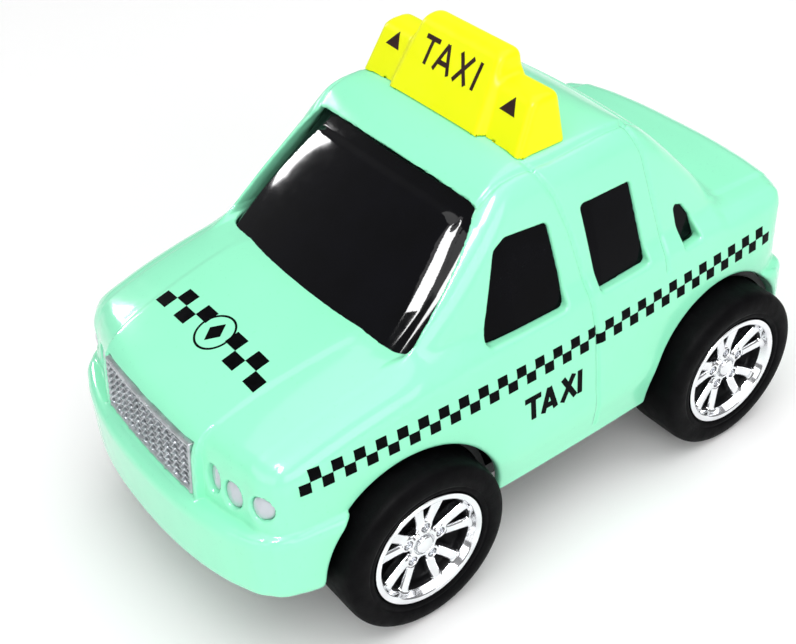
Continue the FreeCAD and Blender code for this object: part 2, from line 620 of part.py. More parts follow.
def make_house(side):
    a, b = (0.02, 6.2) if side > 0 else (-6.2, -0.02)
    c, d = (-0.2, 5.1) if side > 0 else (-5.1, 0.2)
    shell_half = poly_x(rounded(HOUSE, 1.2), a, b).cut(poly_x(rounded(HOUSE_IN, 0.9), c, d))
    lugs = []
    for x, y in MOTOR_SCREWS:
        y0, y1 = (y - 2.0, 4.4) if y < 10 else (32.0, y + 1.4)
        lug = box(min(side * 0.02, side * 4.0), max(side * 0.02, side * 4.0), y0, y1, 10.1, 11.6)
        lugs.append(lug)
    half = fuse([shell_half] + lugs)
    for x, y in MOTOR_SCREWS:
        half = half.cut(zcyl(1.0, 5, 20, x, y))
    half = half.cut(poly_x(rounded(HOUSE_IN, 0.9), c, d))
    for centre, r in ((AXLE_AT, AXLE_R + RUN), (FLY, 0.75 + RUN)):
        half = half.cut(xcyl(r, -9, 9, *centre))
    for centre in (GEAR_A, GEAR_B):
        half = half.cut(xcyl(0.6 + RUN, -5.75, 5.75, *centre))
    return half


save(make_house(1), "motor_case_left")
save(make_house(-1), "motor_case_right")
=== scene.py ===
"""Friction-drive toy taxi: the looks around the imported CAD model.

Everything is worked out in millimetres above the body's own datum and turned into metres in to_object.
The larger pieces are fields, functions of x, y and z that are negative inside, meshed by net().
"""

import math

import bpy
import numpy as np
from mathutils import Matrix, Vector


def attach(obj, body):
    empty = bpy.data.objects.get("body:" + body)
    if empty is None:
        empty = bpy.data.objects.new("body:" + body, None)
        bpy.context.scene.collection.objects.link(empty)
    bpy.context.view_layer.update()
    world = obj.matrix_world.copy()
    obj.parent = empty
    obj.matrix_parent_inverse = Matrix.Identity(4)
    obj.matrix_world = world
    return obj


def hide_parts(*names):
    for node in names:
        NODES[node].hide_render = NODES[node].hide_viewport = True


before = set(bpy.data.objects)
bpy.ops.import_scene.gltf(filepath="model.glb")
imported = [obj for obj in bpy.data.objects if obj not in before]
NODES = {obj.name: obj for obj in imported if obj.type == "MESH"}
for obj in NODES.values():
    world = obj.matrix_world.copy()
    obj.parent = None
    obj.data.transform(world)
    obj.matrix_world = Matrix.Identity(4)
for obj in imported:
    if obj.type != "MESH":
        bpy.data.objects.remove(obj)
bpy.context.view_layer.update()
MM = 0.001
LIFT = 0.4                    # height of the body's own datum above the floor, mm
FINE = 0.26        # cell of the larger field meshes, mm
RIM_FINE = 0.115    # cell of the rims
PHOTO_WIDTH = 796             # px
SENSOR_WIDTH = 36.0           # of the camera, mm
TINY = 1e-9                   # keeps divisions away from zero
BEYOND = 60                   # how far a curve runs straight past its ends, mm

# ---- small numeric helpers -----------------------------------------------------------


def curve(rows, samples=600):
    """Smooth curve through (t, value) rows; straight beyond both ends."""
    t = np.array([r[0] for r in rows], float)
    v = np.array([r[1] for r in rows], float)
    s = np.gradient(v, t)
    q = np.linspace(t[0], t[-1], samples)
    i = np.clip(np.searchsorted(t, q, side="right") - 1, 0, len(t) - 2)
    h = t[i + 1] - t[i]
    u = (q - t[i]) / h
    w = ((2 * u ** 3 - 3 * u ** 2 + 1) * v[i] + (u ** 3 - 2 * u ** 2 + u) * h * s[i]
         + (3 * u ** 2 - 2 * u ** 3) * v[i + 1] + (u ** 3 - u ** 2) * h * s[i + 1])
    q = np.concatenate([[t[0] - BEYOND], q, [t[-1] + BEYOND]])
    w = np.concatenate([[w[0] - BEYOND * s[0]], w, [w[-1] + BEYOND * s[-1]]])
    return lambda a: np.interp(a, q, w)


def slope(f, step=0.05):
    """The derivative of a curve, as another curve."""
    q = np.linspace(-80, 80, 6401)
    d = (f(q + step) - f(q - step)) / (2 * step)
    return lambda a: np.interp(a, q, d)


def smax(a, b, k):
    """The larger of two fields with the edge between them rounded over a width k."""
    h = np.clip(0.5 + 0.5 * (a - b) / k, 0, 1)
    return b + (a - b) * h + k * h * (1 - h)


def smin(a, b, k):
    return -smax(-a, -b, k)


def step01(t):
    """Smooth step from 0 at t = 0 to 1 at t = 1."""
    t = np.clip(t, 0, 1)
    return t * t * (3 - 2 * t)


def poly_sd(pts, u, v):
    """Signed distance to a closed outline, negative inside."""
    pts = np.array(pts, float)
    best = np.full(u.shape, 1e9)
    inside = np.zeros(u.shape, bool)
    for (ax, ay), (bx, by) in zip(pts, np.roll(pts, -1, 0)):
        ex, ey = bx - ax, by - ay
        wx, wy = u - ax, v - ay
        t = np.clip((wx * ex + wy * ey) / (ex * ex + ey * ey), 0, 1)
        best = np.minimum(best, (wx - t * ex) ** 2 + (wy - t * ey) ** 2)
        cross = (ay > v) != (by > v)
        side = u < (v - ay) * ex / (ey if abs(ey) > 1e-12 else 1e-12) + ax
        inside ^= cross & side
    d = np.sqrt(best)
    return np.where(inside, -d, d)


def path_d(pts, u, v):
    """Distance to an open polyline."""
    best = np.full(u.shape, 1e9)
    for (ax, ay), (bx, by) in zip(pts, pts[1:]):
        ex, ey = bx - ax, by - ay
        wx, wy = u - ax, v - ay
        t = np.clip((wx * ex + wy * ey) / (ex * ex + ey * ey), 0, 1)
        best = np.minimum(best, (wx - t * ex) ** 2 + (wy - t * ey) ** 2)
    return np.sqrt(best)


def shrink(pts, r):
    """The outline pulled in by about r, so that its distance field minus r has rounded corners."""
    p = np.array(pts, float)
    area = 0.5 * np.sum(p[:, 0] * np.roll(p[:, 1], -1) - np.roll(p[:, 0], -1) * p[:, 1])
    if area < 0:
        p = p[::-1]
    out = []
    n = len(p)
    for i in range(n):
        a, b, c = p[i - 1], p[i], p[(i + 1) % n]
        d1 = (b - a) / np.linalg.norm(b - a)
        d2 = (c - b) / np.linalg.norm(c - b)
        n1 = np.array([-d1[1], d1[0]])
        n2 = np.array([-d2[1], d2[0]])
        m = n1 + n2
        out.append(b + m * r / max(0.35, m @ n1))
    return out


# ---- the shell as a field (negative inside), in millimetres ---------------------------
HALF_W = 20.95
WALL = 1.2
ROOF_Z = 44.9
FRONT_Y, REAR_Y, AXLE_Z = -19.2, 25.8, 9.8
ARCH_R = 11.3
SILL_Z = 9.2
NOSE_STEP = 0.95              # depth of the lamps' panel

top_line = curve([(-42, 22.4), (-38.5, 25.0), (-36.5, 26.2), (-33, 27.7), (-28.4, 29.1), (-24, 30.0),
                  (-20, 30.6), (-8, 31.0), (8, 31.0), (20, 30.4), (29, 29.9), (42, 29.6)])
top_slope = slope(top_line)
bulge = curve([(8.2, -0.35), (9.6, -0.12), (12.0, 0.3), (14.0, 0.6), (14.9, 0.62), (16.5, 0.5), (19.0, 0.35),
               (23.8, 0.0), (25.6, -0.3), (28.0, -0.8)])
nose_up = curve([(-1, -38.35), (0, -38.35), (6, -38.2), (9.8, -37.9), (12, -37.5), (15.3, -36.65),
                 (17.9, -35.25), (19.6, -33.1), (20.65, -29.9), (22.5, -22)])
nose_low = curve([(-1, -40.0), (0, -40.0), (4, -39.9), (8, -39.55), (11.9, -38.85), (15.8, -37.6),
                  (18.5, -36.1), (20.2, -33.9), (21.1, -31.0), (21.7, -27)])
tail_up = curve([(-1, 39.2), (0, 39.2), (8, 39.1), (13, 38.7), (16.6, 37.9), (18.6, 36.3), (19.7, 33.6),
                 (22.2, 22)])
tail_low = curve([(-1, 40.0), (0, 40.0), (8, 39.9), (13, 39.6), (17.1, 38.8), (19.4, 37.1), (20.4, 34.4),
                  (20.9, 30)])
PLANS = {f: slope(f) for f in (nose_up, nose_low, tail_up, tail_low)}


def plan_front(f, ax, y, back=0.0):
    """Distance in front of a nose outline f(|x|), moved back by some amount."""
    return (f(ax) + back - y) / np.sqrt(1 + PLANS[f](ax) ** 2)


def plan_rear(f, ax, y, back=0.0):
    """Distance behind a tail outline f(|x|), moved forwards by some amount."""
    return (y - f(ax) + back) / np.sqrt(1 + PLANS[f](ax) ** 2)


def half_width(y):
    """Half the body's width at the stripe, barrelled along its length."""
    return HALF_W - np.where(y < -6, 0.00172, 0.0010) * (y + 6) ** 2


def nose_step(ax):
    """The lamps' panel lies behind the grille's surround."""
    return NOSE_STEP * step01((ax - 9.72) / 0.2) * step01((19.5 - ax) / 5.0)


def nose_back(z):
    """The nose leans back above its foot."""
    return 0.10 * np.maximum(z - 18.8, 0)


def tail_back(z):
    """The tail leans forwards above the lamps."""
    return 0.34 * np.maximum(z - 27.5, 0)


def lower_field(x, y, z, step=nose_step):
    """Bonnet, wings, doors and boot, without the bumpers and the cab."""
    ax = np.abs(x)
    s = half_width(y)
    side = ax - s - bulge(z)
    drop = np.interp(y, [-42, -30, -15, 20, 42], [1.3, 1.6, 1.6, 0.9, 0.8])
    power = np.interp(y, [-20, 20], [3.2, 2.2])
    crown = drop * (np.minimum(ax, s + 1) / (s - 2.7)) ** power
    # the bonnet's raised middle and its wing lines, and the boot's two lines
    hood = step01((-16.0 - y) / 3.0)
    x1 = np.interp(y, [-38, -20], [9.8, 11.3])
    x2 = np.interp(y, [-38, -20], [16.2, 17.0])
    wings = 0.10 * step01((ax - x1 + 0.5) / 0.9) + 0.10 * step01((ax - x2 + 0.5) / 0.9)
    crown = crown + hood * wings
    boot = step01((y - 26.0) / 2.0)
    crown = crown + boot * (0.25 * step01((ax - 14.6) / 0.8) + 0.25 * step01((ax - 17.3) / 0.7))
    top = (z - top_line(y) + crown) / np.sqrt(1 + top_slope(y) ** 2)
    front = plan_front(nose_up, ax, y, nose_back(z) + step(ax))
    rear = plan_rear(tail_up, ax, y, tail_back(z))
    wall = smax(smax(side, front, 0.5), rear, 0.5)
    return smax(wall, top, 2.1)


def bumper_field(ax, y, z, low, front):
    wall = plan_front(low, ax, y) if front else plan_rear(low, ax, y)
    end = (y + 24.5) if front else (28.5 - y)
    band = np.abs(z - 14.05) - 4.25
    return smax(smax(wall, band, 1.5), end, 1.0)


# the cab's middle line from the windscreen's foot over the roof to the rear window's foot
screen_line = curve([(-26, 25.56), (-22, 28.81), (-19.8, 30.6), (-13, 36.13), (-6.6, 41.33), (-4.6, 42.7),
                     (-1.6, 43.9), (2.0, 44.6), (6.0, 44.9), (11.0, 44.7), (15.0, 43.6), (17.4, 42.3),
                     (20.4, 39.9), (23.6, 36.6), (26.8, 33.0), (29.2, 29.8), (31, 27.4)])
screen_slope = slope(screen_line)
cab_width = curve([(22, 20.7), (25, 20.0), (28.6, 19.3), (32.5, 18.4), (37, 17.2), (40, 16.35),
                   (42, 15.75), (44, 15.2), (46, 14.6)])
cab_lean = slope(cab_width)
cab_crown = curve([(-1, 0.0), (0, 0.0), (6, 0.1), (11.2, 0.6), (14.2, 1.25), (16, 1.9)])


def cab_field(x, y, z):
    """Windscreen, roof, cab sides and rear window as one closed block."""
    ax = np.abs(x)
    fore = np.clip((2.0 - y) / 8.0, 0, 1)
    aft = np.clip((y - 8.0) / 12.0, 0, 1)
    yy = y - fore * 0.0105 * ax * ax + aft * 0.006 * ax * ax
    screen = (z - screen_line(yy)) / np.sqrt(1 + screen_slope(yy) ** 2)
    roof = z - ROOF_Z + cab_crown(ax)
    k = np.interp(y, [-32, -18, -11, -4, 8, 17, 25, 36],
                  [0.86, 0.935, 0.98, 1.0, 1.0, 0.968, 0.912, 0.83])
    side = (ax - k * cab_width(z)) / np.sqrt(1 + cab_lean(z) ** 2)
    return np.maximum(smax(smax(screen, roof, 0.9), side, 2.1), 25.0 - z)


# window openings: the side ones as (y, z), the screens as (x, z)
SIDE_FRONT = [(-8.5, 28.3), (-6.9, 32.6), (-5.1, 37.5), (-3.6, 38.35), (1.95, 37.9), (2.4, 32.0),
              (2.45, 28.3)]
SIDE_REAR = [(7.15, 28.3), (6.45, 38.05), (13.7, 37.8), (14.1, 33.0), (14.6, 28.3)]
SIDE_QUARTER = [(20.2, 27.7), (19.8, 32.7), (21.2, 32.1), (22.3, 30.5), (23.0, 27.8)]
SCREEN_HALF = [(0, 41.95), (3.5, 41.9), (7.2, 41.75), (10.5, 41.5), (12.6, 41.3), (13.7, 41.0),
               (14.75, 39.1), (15.5, 37.2), (16.1, 35.2), (16.6, 33.0), (16.95, 30.9), (16.85, 30.1),
               (16.2, 29.8), (14.0, 30.0), (10.5, 30.45), (7.0, 30.6), (3.5, 30.7), (0, 30.75)]
SCREEN_FRONT = SCREEN_HALF + [(-px, pz) for px, pz in SCREEN_HALF[-2:0:-1]]
SCREEN_REAR = [(-14.0, 32.0), (-11.6, 39.8), (-6.5, 40.8), (6.5, 40.8), (11.6, 39.8), (14.0, 32.0)]


def rounded_outline(pts, r, u, v):
    """Signed distance to an outline whose corners are rounded by r."""
    return poly_sd(shrink(pts, r), u, v) - r


def side_windows(y, z):
    return np.minimum(np.minimum(rounded_outline(SIDE_FRONT, 0.8, y, z),
                                 rounded_outline(SIDE_REAR, 0.5, y, z)),
                      rounded_outline(SIDE_QUARTER, 0.35, y, z))


def front_screen(x, z):
    return rounded_outline(SCREEN_FRONT, 0.3, x, z)


def rear_screen(x, z):
    return rounded_outline(SCREEN_REAR, 0.8, x, z)


# panel lines behind the front and the rear door, as (y, z)
B_LINE = [(1.2, 44.0), (3.4, 40.0), (4.5, 36.0), (5.3, 31.0), (5.7, 27.0), (5.9, 22.0), (5.9, 11.5)]
C_LINE = [(14.8, 43.0), (16.0, 40.0), (16.7, 34.0), (17.2, 30.5), (17.1, 26.5)]
SEAM_DEPTH, SEAM_W = 0.24, 0.27


def seams(x, y, z):
    """How deep the panel lines are cut here."""
    ax = np.abs(x)
    on_side = step01((ax - 13.0) / 1.0)
    cut = SEAM_DEPTH * np.exp(-(path_d(B_LINE, y, z) / SEAM_W) ** 2) * on_side
    cut += SEAM_DEPTH * np.exp(-(path_d(C_LINE, y, z) / SEAM_W) ** 2) * on_side
    high = step01((z - 40.5) / 0.8)
    gutter_x = np.interp(y, [-9, -4, 4, 14, 17], [13.4, 14.1, 14.4, 13.9, 13.2])
    along = step01((y + 8.5) / 1.5) * step01((17.3 - y) / 0.6)
    cut += SEAM_DEPTH * np.exp(-((ax - gutter_x) / SEAM_W) ** 2) * high * along
    across = step01((13.4 - ax) / 0.5)
    cut += 0.26 * np.exp(-((y - 17.2 + 0.006 * ax * ax) / 0.3) ** 2) * high * across
    return cut


def skin_field(x, y, z):
    """The painted outside, before anything is cut out of it."""
    ax = np.abs(x)
    f = smin(lower_field(x, y, z), cab_field(x, y, z), 1.3)
    f = smin(f, bumper_field(ax, y, z, nose_low, True), 0.35)
    f = smin(f, bumper_field(ax, y, z, tail_low, False), 0.5)
    return f + seams(x, y, z)


# headlamps as |x|, z and the two half axes
LAMPS = [(11.25, 21.5, 0.95, 1.8), (13.9, 20.95, 1.25, 1.65), (17.55, 21.2, 1.2, 1.45)]
GRILLE_HALF_W, GRILLE_HALF_H = 9.1, 3.2
GRILLE_MID = 21.8
TAIL_X, TAIL_Z = 15.0, 24.1                # middle of a tail lamp


def oval_sd(ax, z, cx, cz, a, b):
    """Nearly the signed distance to an upright oval."""
    q = np.sqrt(((ax - cx) / a) ** 2 + ((z - cz) / b) ** 2) + 1e-9
    g = np.sqrt(((ax - cx) / a ** 2) ** 2 + ((z - cz) / b ** 2) ** 2) + 1e-6
    return q * (q - 1) / g


def shell_field(x, y, z):
    """The painted shell: skin, hollow inside, arches, windows, grille and lamp openings."""
    ax = np.abs(x)
    f = skin_field(x, y, z)
    inner = np.minimum(lower_field(x, y, z, lambda a: NOSE_STEP), cab_field(x, y, z)) + WALL
    g = smax(f, -inner, 0.3)
    g = smax(g, SILL_Z - z, 0.5)
    hollow = np.maximum(np.maximum(ax - 17.6, z - 12.0), np.maximum(-35.6 - y, y - 36.4))
    g = smax(g, -hollow, 0.3)
    for yc in (FRONT_Y, REAR_Y):
        r = np.sqrt((y - yc) ** 2 + (z - AXLE_Z) ** 2) - ARCH_R
        g = smax(g, -np.maximum(r, 12.4 - ax), 0.5)
    g = smax(g, -np.maximum(side_windows(y, z), 10.0 - ax), 0.45)
    g = smax(g, -np.maximum(front_screen(x, z), y + 2.0), 0.45)
    g = smax(g, -np.maximum(rear_screen(x, z), 16.2 - y), 0.45)
    hole = np.maximum(ax - GRILLE_HALF_W, np.abs(z - GRILLE_MID) - GRILLE_HALF_H)
    g = smax(g, -np.maximum(hole, y + 35.9), 0.3)
    for cx, cz, a, b in LAMPS:
        g = smax(g, -np.maximum(oval_sd(ax, z, cx, cz, a, b), y + 30.0), 0.35)
    lamp = np.maximum(np.abs(ax - TAIL_X) - 2.4, np.abs(z - TAIL_Z) - 2.3)
    g = smax(g, -np.maximum(lamp, 35.0 - y), 0.4)
    return g


# ---- meshing a field ----------------------------------------------------------------
def gradient(field, p, h=0.02):
    """The field's gradient at points p, by central differences."""
    g = np.empty_like(p)
    for i in range(3):
        q = p.copy()
        q[:, i] += h
        a = field(q[:, 0], q[:, 1], q[:, 2])
        q[:, i] -= 2 * h
        g[:, i] = (a - field(q[:, 0], q[:, 1], q[:, 2])) / (2 * h)
    return g


def unit(g):
    return g / np.maximum(np.linalg.norm(g, axis=1, keepdims=True), TINY)


def net(field, lo, hi, cell, block=8, reach=1.6):
    """Mesh of field = 0 by surface nets, pulled on to the surface by Newton steps.

    The field is first taken once per block of cells, and cell by cell only in blocks near the surface.
    """
    lo, hi = np.array(lo, float), np.array(hi, float)
    nb = np.ceil((hi - lo) / (cell * block)).astype(int)
    n = nb * block
    mids = [lo[i] + (np.arange(nb[i]) + 0.5) * block * cell for i in range(3)]
    grid = np.stack(np.meshgrid(*mids, indexing="ij"), -1).reshape(-1, 3)
    coarse = field(grid[:, 0], grid[:, 1], grid[:, 2]).reshape(nb)
    values = np.repeat(np.repeat(np.repeat(coarse, block, 0), block, 1), block, 2).astype(np.float32)
    near = np.argwhere(np.abs(coarse) < cell * block * reach)
    off = np.stack(np.meshgrid(*[np.arange(block)] * 3, indexing="ij"), -1).reshape(-1, 3)
    for part in np.array_split(near, max(1, len(near) // 600)):
        idx = (part[:, None, :] * block + off[None]).reshape(-1, 3)
        p = lo + idx * cell
        values[idx[:, 0], idx[:, 1], idx[:, 2]] = field(p[:, 0], p[:, 1], p[:, 2])
    inside = values < 0
    total = np.zeros(np.array(values.shape) - 1, np.int8)
    for dx in (0, 1):
        for dy in (0, 1):
            for dz in (0, 1):
                total += inside[dx:n[0] - 1 + dx, dy:n[1] - 1 + dy,
                                dz:n[2] - 1 + dz]
    cells = np.argwhere((total > 0) & (total < 8))
    number = -np.ones(total.shape, np.int32)
    number[cells[:, 0], cells[:, 1], cells[:, 2]] = np.arange(len(cells))
    pos = np.zeros((len(cells), 3))
    count = np.zeros(len(cells))
    for axis in range(3):
        step = np.eye(3, dtype=int)[axis]
        others = [a for a in range(3) if a != axis]
        for u in (0, 1):
            for v in (0, 1):
                base = cells.copy()
                base[:, others[0]] += u
                base[:, others[1]] += v
                a = values[base[:, 0], base[:, 1], base[:, 2]]
                tip = base + step
                b = values[tip[:, 0], tip[:, 1], tip[:, 2]]
                hit = (a < 0) != (b < 0)
                t = np.where(hit, a / np.where(hit, a - b, 1), 0)
                pos[hit] += (base + t[:, None] * step)[hit]
                count[hit] += 1
    verts = lo + pos / count[:, None] * cell
    quads = []
    for axis in range(3):
        a, b = [q for q in range(3) if q != axis]
        s0 = [slice(1, n[q] - 1) for q in range(3)]
        s0[axis] = slice(0, n[axis] - 1)
        s1 = list(s0)
        s1[axis] = slice(1, n[axis])
        first, second = inside[tuple(s0)], inside[tuple(s1)]
        for flag, flip in ((first & ~second, False), (~first & second, True)):
            e = np.argwhere(flag)
            e[:, a] += 1
            e[:, b] += 1
            ring = []
            for da, db in ((-1, -1), (0, -1), (0, 0), (-1, 0)):
                c = e.copy()
                c[:, a] += da
                c[:, b] += db
                ring.append(number[c[:, 0], c[:, 1], c[:, 2]])
            ring = np.stack(ring, 1)
            if flip != (axis == 1):
                ring = ring[:, ::-1]
            quads.append(ring)
    faces = np.concatenate(quads)
    faces = faces[(faces >= 0).all(1)]
    for _ in range(3):
        g = gradient(field, verts)
        f = field(verts[:, 0], verts[:, 1], verts[:, 2])
        move = -f[:, None] * g / np.maximum((g * g).sum(1), 0.15)[:, None]
        size = np.linalg.norm(move, axis=1, keepdims=True)
        verts = verts + move * np.minimum(1, 0.6 * cell / np.maximum(size, TINY))
    return verts, faces


def to_object(name, verts, faces, normals=None):
    """A smooth-shaded object from millimetres above the datum; faces are an array or a list."""
    mesh = bpy.data.meshes.new(name)
    v = np.array(verts, float) + np.array([0, 0, LIFT])
    if isinstance(faces, np.ndarray):
        k = faces.shape[1]
        mesh.vertices.add(len(v))
        mesh.vertices.foreach_set("co", (v * MM).ravel())
        mesh.loops.add(faces.size)
        mesh.loops.foreach_set("vertex_index", faces.ravel().astype(np.int32))
        mesh.polygons.add(len(faces))
        mesh.polygons.foreach_set("loop_start", np.arange(len(faces), dtype=np.int32) * k)
        mesh.polygons.foreach_set("loop_total", np.full(len(faces), k, np.int32))
    else:
        mesh.from_pydata([tuple(p * MM) for p in v], [], faces)
    mesh.update(calc_edges=True)
    mesh.validate()
    mesh.polygons.foreach_set("use_smooth", np.ones(len(mesh.polygons), bool))
    if normals is not None and len(mesh.vertices) == len(v):
        mesh.normals_split_custom_set_from_vertices([tuple(q) for q in normals])
    obj = bpy.data.objects.new(name, mesh)
    bpy.context.scene.collection.objects.link(obj)
    return obj


def field_object(name, field, lo, hi, cell):
    verts, faces = net(field, lo, hi, cell)
    return to_object(name, verts, faces, unit(gradient(field, verts)))


# ---- stage, camera and light ----------------------------------------------------------
scene = bpy.context.scene
CAMERA_FOCAL_PX = 1358.0
CAMERA_AT_MM = (102.6, -75.3, 114.5)
CAMERA_ANGLES = (55.80, 37.46, -3.68)      # azimuth, elevation, roll in degrees


def make_camera():
    """The photograph's camera, looking at the left front from above."""
    az, el, roll = [math.radians(a) for a in CAMERA_ANGLES]
    back = np.array([math.sin(az) * math.cos(el), -math.cos(az) * math.cos(el), math.sin(el)])
    right = np.array([math.cos(az), math.sin(az), 0])
    up = np.cross(back, right)
    c, s = math.cos(roll), math.sin(roll)
    r2, u2 = c * right + s * up, -s * right + c * up
    data = bpy.data.cameras.new("camera")
    data.sensor_width = SENSOR_WIDTH
    data.lens = CAMERA_FOCAL_PX / PHOTO_WIDTH * SENSOR_WIDTH
    data.clip_start, data.clip_end = 0.01, 10.0
    cam = bpy.data.objects.new("camera", data)
    scene.collection.objects.link(cam)
    cam.matrix_world = Matrix(((r2[0], u2[0], back[0], CAMERA_AT_MM[0] * MM),
                               (r2[1], u2[1], back[1], CAMERA_AT_MM[1] * MM),
                               (r2[2], u2[2], back[2], CAMERA_AT_MM[2] * MM), (0, 0, 0, 1)))
    bpy.context.scene.camera = cam


def area_light(name, direction, distance, size, radiance):
    """A softbox facing the car, placed along a direction from it; its power follows its size."""
    d = Vector(direction).normalized()
    data = bpy.data.lights.new(name, "AREA")
    data.shape = "RECTANGLE"
    data.size, data.size_y = size
    data.energy = radiance * math.pi * size[0] * size[1]
    obj = bpy.data.objects.new(name, data)
    obj.location = Vector(LIT_POINT) + d * distance
    obj.rotation_euler = (-d).to_track_quat("-Z", "Y").to_euler()
    scene.collection.objects.link(obj)
    return obj


LIT_POINT = (0, 0, 0.02)      # what the lights face, m
# each light: name, direction from the car, distance and size in m, radiance
SOFTBOXES = (("overhead", (0.12, 0.02, 1.0), 0.60, (0.95, 0.75), 2.0),
             ("left_bank", (0.98, -0.10, 0.40), 0.50, (0.36, 0.20), 3.3),
             ("nose_bank", (0.20, -1.0, 0.36), 0.52, (0.34, 0.20), 2.1))
# small white cards, seen only as highlights in the gloss
CARDS = (("key_card", (0.34, -0.50, 0.80), 0.42, (0.110, 0.100), 45.0),
         ("corner_card", (-0.90, -0.20, 0.37), 0.42, (0.050, 0.075), 36.0))


def make_stage():
    world = bpy.data.worlds.new("studio")
    world.use_nodes = True
    back = world.node_tree.nodes["Background"]
    back.inputs["Color"].default_value = (1.0, 1.0, 1.0, 1)
    back.inputs["Strength"].default_value = 0.25
    scene.world = world
    bpy.ops.mesh.primitive_plane_add(size=3.0, location=(0, 0, 0))
    floor = bpy.context.object
    floor.name = "floor"
    m = bpy.data.materials.new("floor")
    m.use_nodes = True
    b = m.node_tree.nodes["Principled BSDF"]
    b.inputs["Base Color"].default_value = (0.95, 0.95, 0.95, 1)
    b.inputs["Emission Color"].default_value = (1.0, 1.0, 1.0, 1)
    b.inputs["Emission Strength"].default_value = 0.05
    b.inputs["Roughness"].default_value = 0.9
    b.inputs["Specular IOR Level"].default_value = 0.1
    floor.data.materials.append(m)
    for box in SOFTBOXES:
        area_light(*box)
    for card in CARDS:
        area_light(*card).visible_diffuse = False


make_camera()
make_stage()
scene.view_settings.view_transform = "Standard"


# ---- materials -----------------------------------------------------------------------
def new_material(name):
    m = bpy.data.materials.new(name)
    m.use_nodes = True
    return m, m.node_tree, m.node_tree.nodes["Principled BSDF"]


def node(tree, kind, **inputs):
    n = tree.nodes.new(kind)
    for key, value in inputs.items():
        n.inputs[key.replace("_", " ")].default_value = value
    return n


def noise(tree, scale, detail=3.0, rough=0.55):
    """Noise over the piece's own metres."""
    coord = tree.nodes.new("ShaderNodeTexCoord")
    n = node(tree, "ShaderNodeTexNoise", Scale=scale, Detail=detail, Roughness=rough)
    tree.links.new(coord.outputs["Object"], n.inputs["Vector"])
    return n.outputs["Fac"]


def ramp(tree, fac, first, last):
    """Colour ramp between two (position, colour) stops."""
    r = tree.nodes.new("ShaderNodeValToRGB")
    e = r.color_ramp.elements
    e[0].position, e[0].color = first
    e[1].position, e[1].color = last
    tree.links.new(fac, r.inputs["Fac"])
    return r.outputs["Color"]


def grey(v):
    return (v, v, v, 1)


def bump(tree, bsdf, height, strength, distance):
    b = node(tree, "ShaderNodeBump", Strength=strength, Distance=distance)
    tree.links.new(height, b.inputs["Height"])
    tree.links.new(b.outputs["Normal"], bsdf.inputs["Normal"])


def finish_material(name, colours, rough, metallic=0.0, coat=0.0, spec=0.5, tint_scale=300.0,
                    rough_scale=900.0, grain=None):
    """Colour drifts between two tones, roughness between two values, over a fine grain."""
    m, tree, b = new_material(name)
    tone = ramp(tree, noise(tree, tint_scale), (0.35, (*colours[0], 1)), (0.68, (*colours[1], 1)))
    tree.links.new(tone, b.inputs["Base Color"])
    r = ramp(tree, noise(tree, rough_scale, 4.0), (0.3, grey(rough[0])), (0.75, grey(rough[1])))
    tree.links.new(r, b.inputs["Roughness"])
    b.inputs["Metallic"].default_value = metallic
    b.inputs["Specular IOR Level"].default_value = spec
    b.inputs["Coat Weight"].default_value = coat
    b.inputs["Coat Roughness"].default_value = 0.04
    if grain:
        bump(tree, b, noise(tree, grain[0], 2.0), grain[1], grain[2])
    return m


def paint_material():
    """Glossy mint enamel with a slow drift of tone, faint flecks and a clear coat."""
    m, tree, b = new_material("mint_enamel")
    drift = ramp(tree, noise(tree, 55.0, 2.0), (0.3, (0.300, 0.90, 0.580, 1)), (0.7, (0.325, 0.93, 0.610, 1)))
    fleck = ramp(tree, noise(tree, 2600.0, 2.0), (0.28, grey(0.955)), (0.36, grey(1.0)))
    mix = tree.nodes.new("ShaderNodeMix")
    mix.data_type = "RGBA"
    mix.blend_type = "MULTIPLY"
    mix.inputs["Factor"].default_value = 1.0
    tree.links.new(drift, mix.inputs[6])
    tree.links.new(fleck, mix.inputs[7])
    tree.links.new(mix.outputs[2], b.inputs["Base Color"])
    r = ramp(tree, noise(tree, 420.0, 5.0), (0.35, grey(0.16)), (0.75, grey(0.27)))
    tree.links.new(r, b.inputs["Roughness"])
    b.inputs["Specular IOR Level"].default_value = 0.22
    b.inputs["Coat Weight"].default_value = 0.45
    b.inputs["Coat Roughness"].default_value = 0.05
    # the slow waviness that sprayed enamel keeps
    bump(tree, b, noise(tree, 480.0, 2.0), 0.10, 0.0001)
    return m


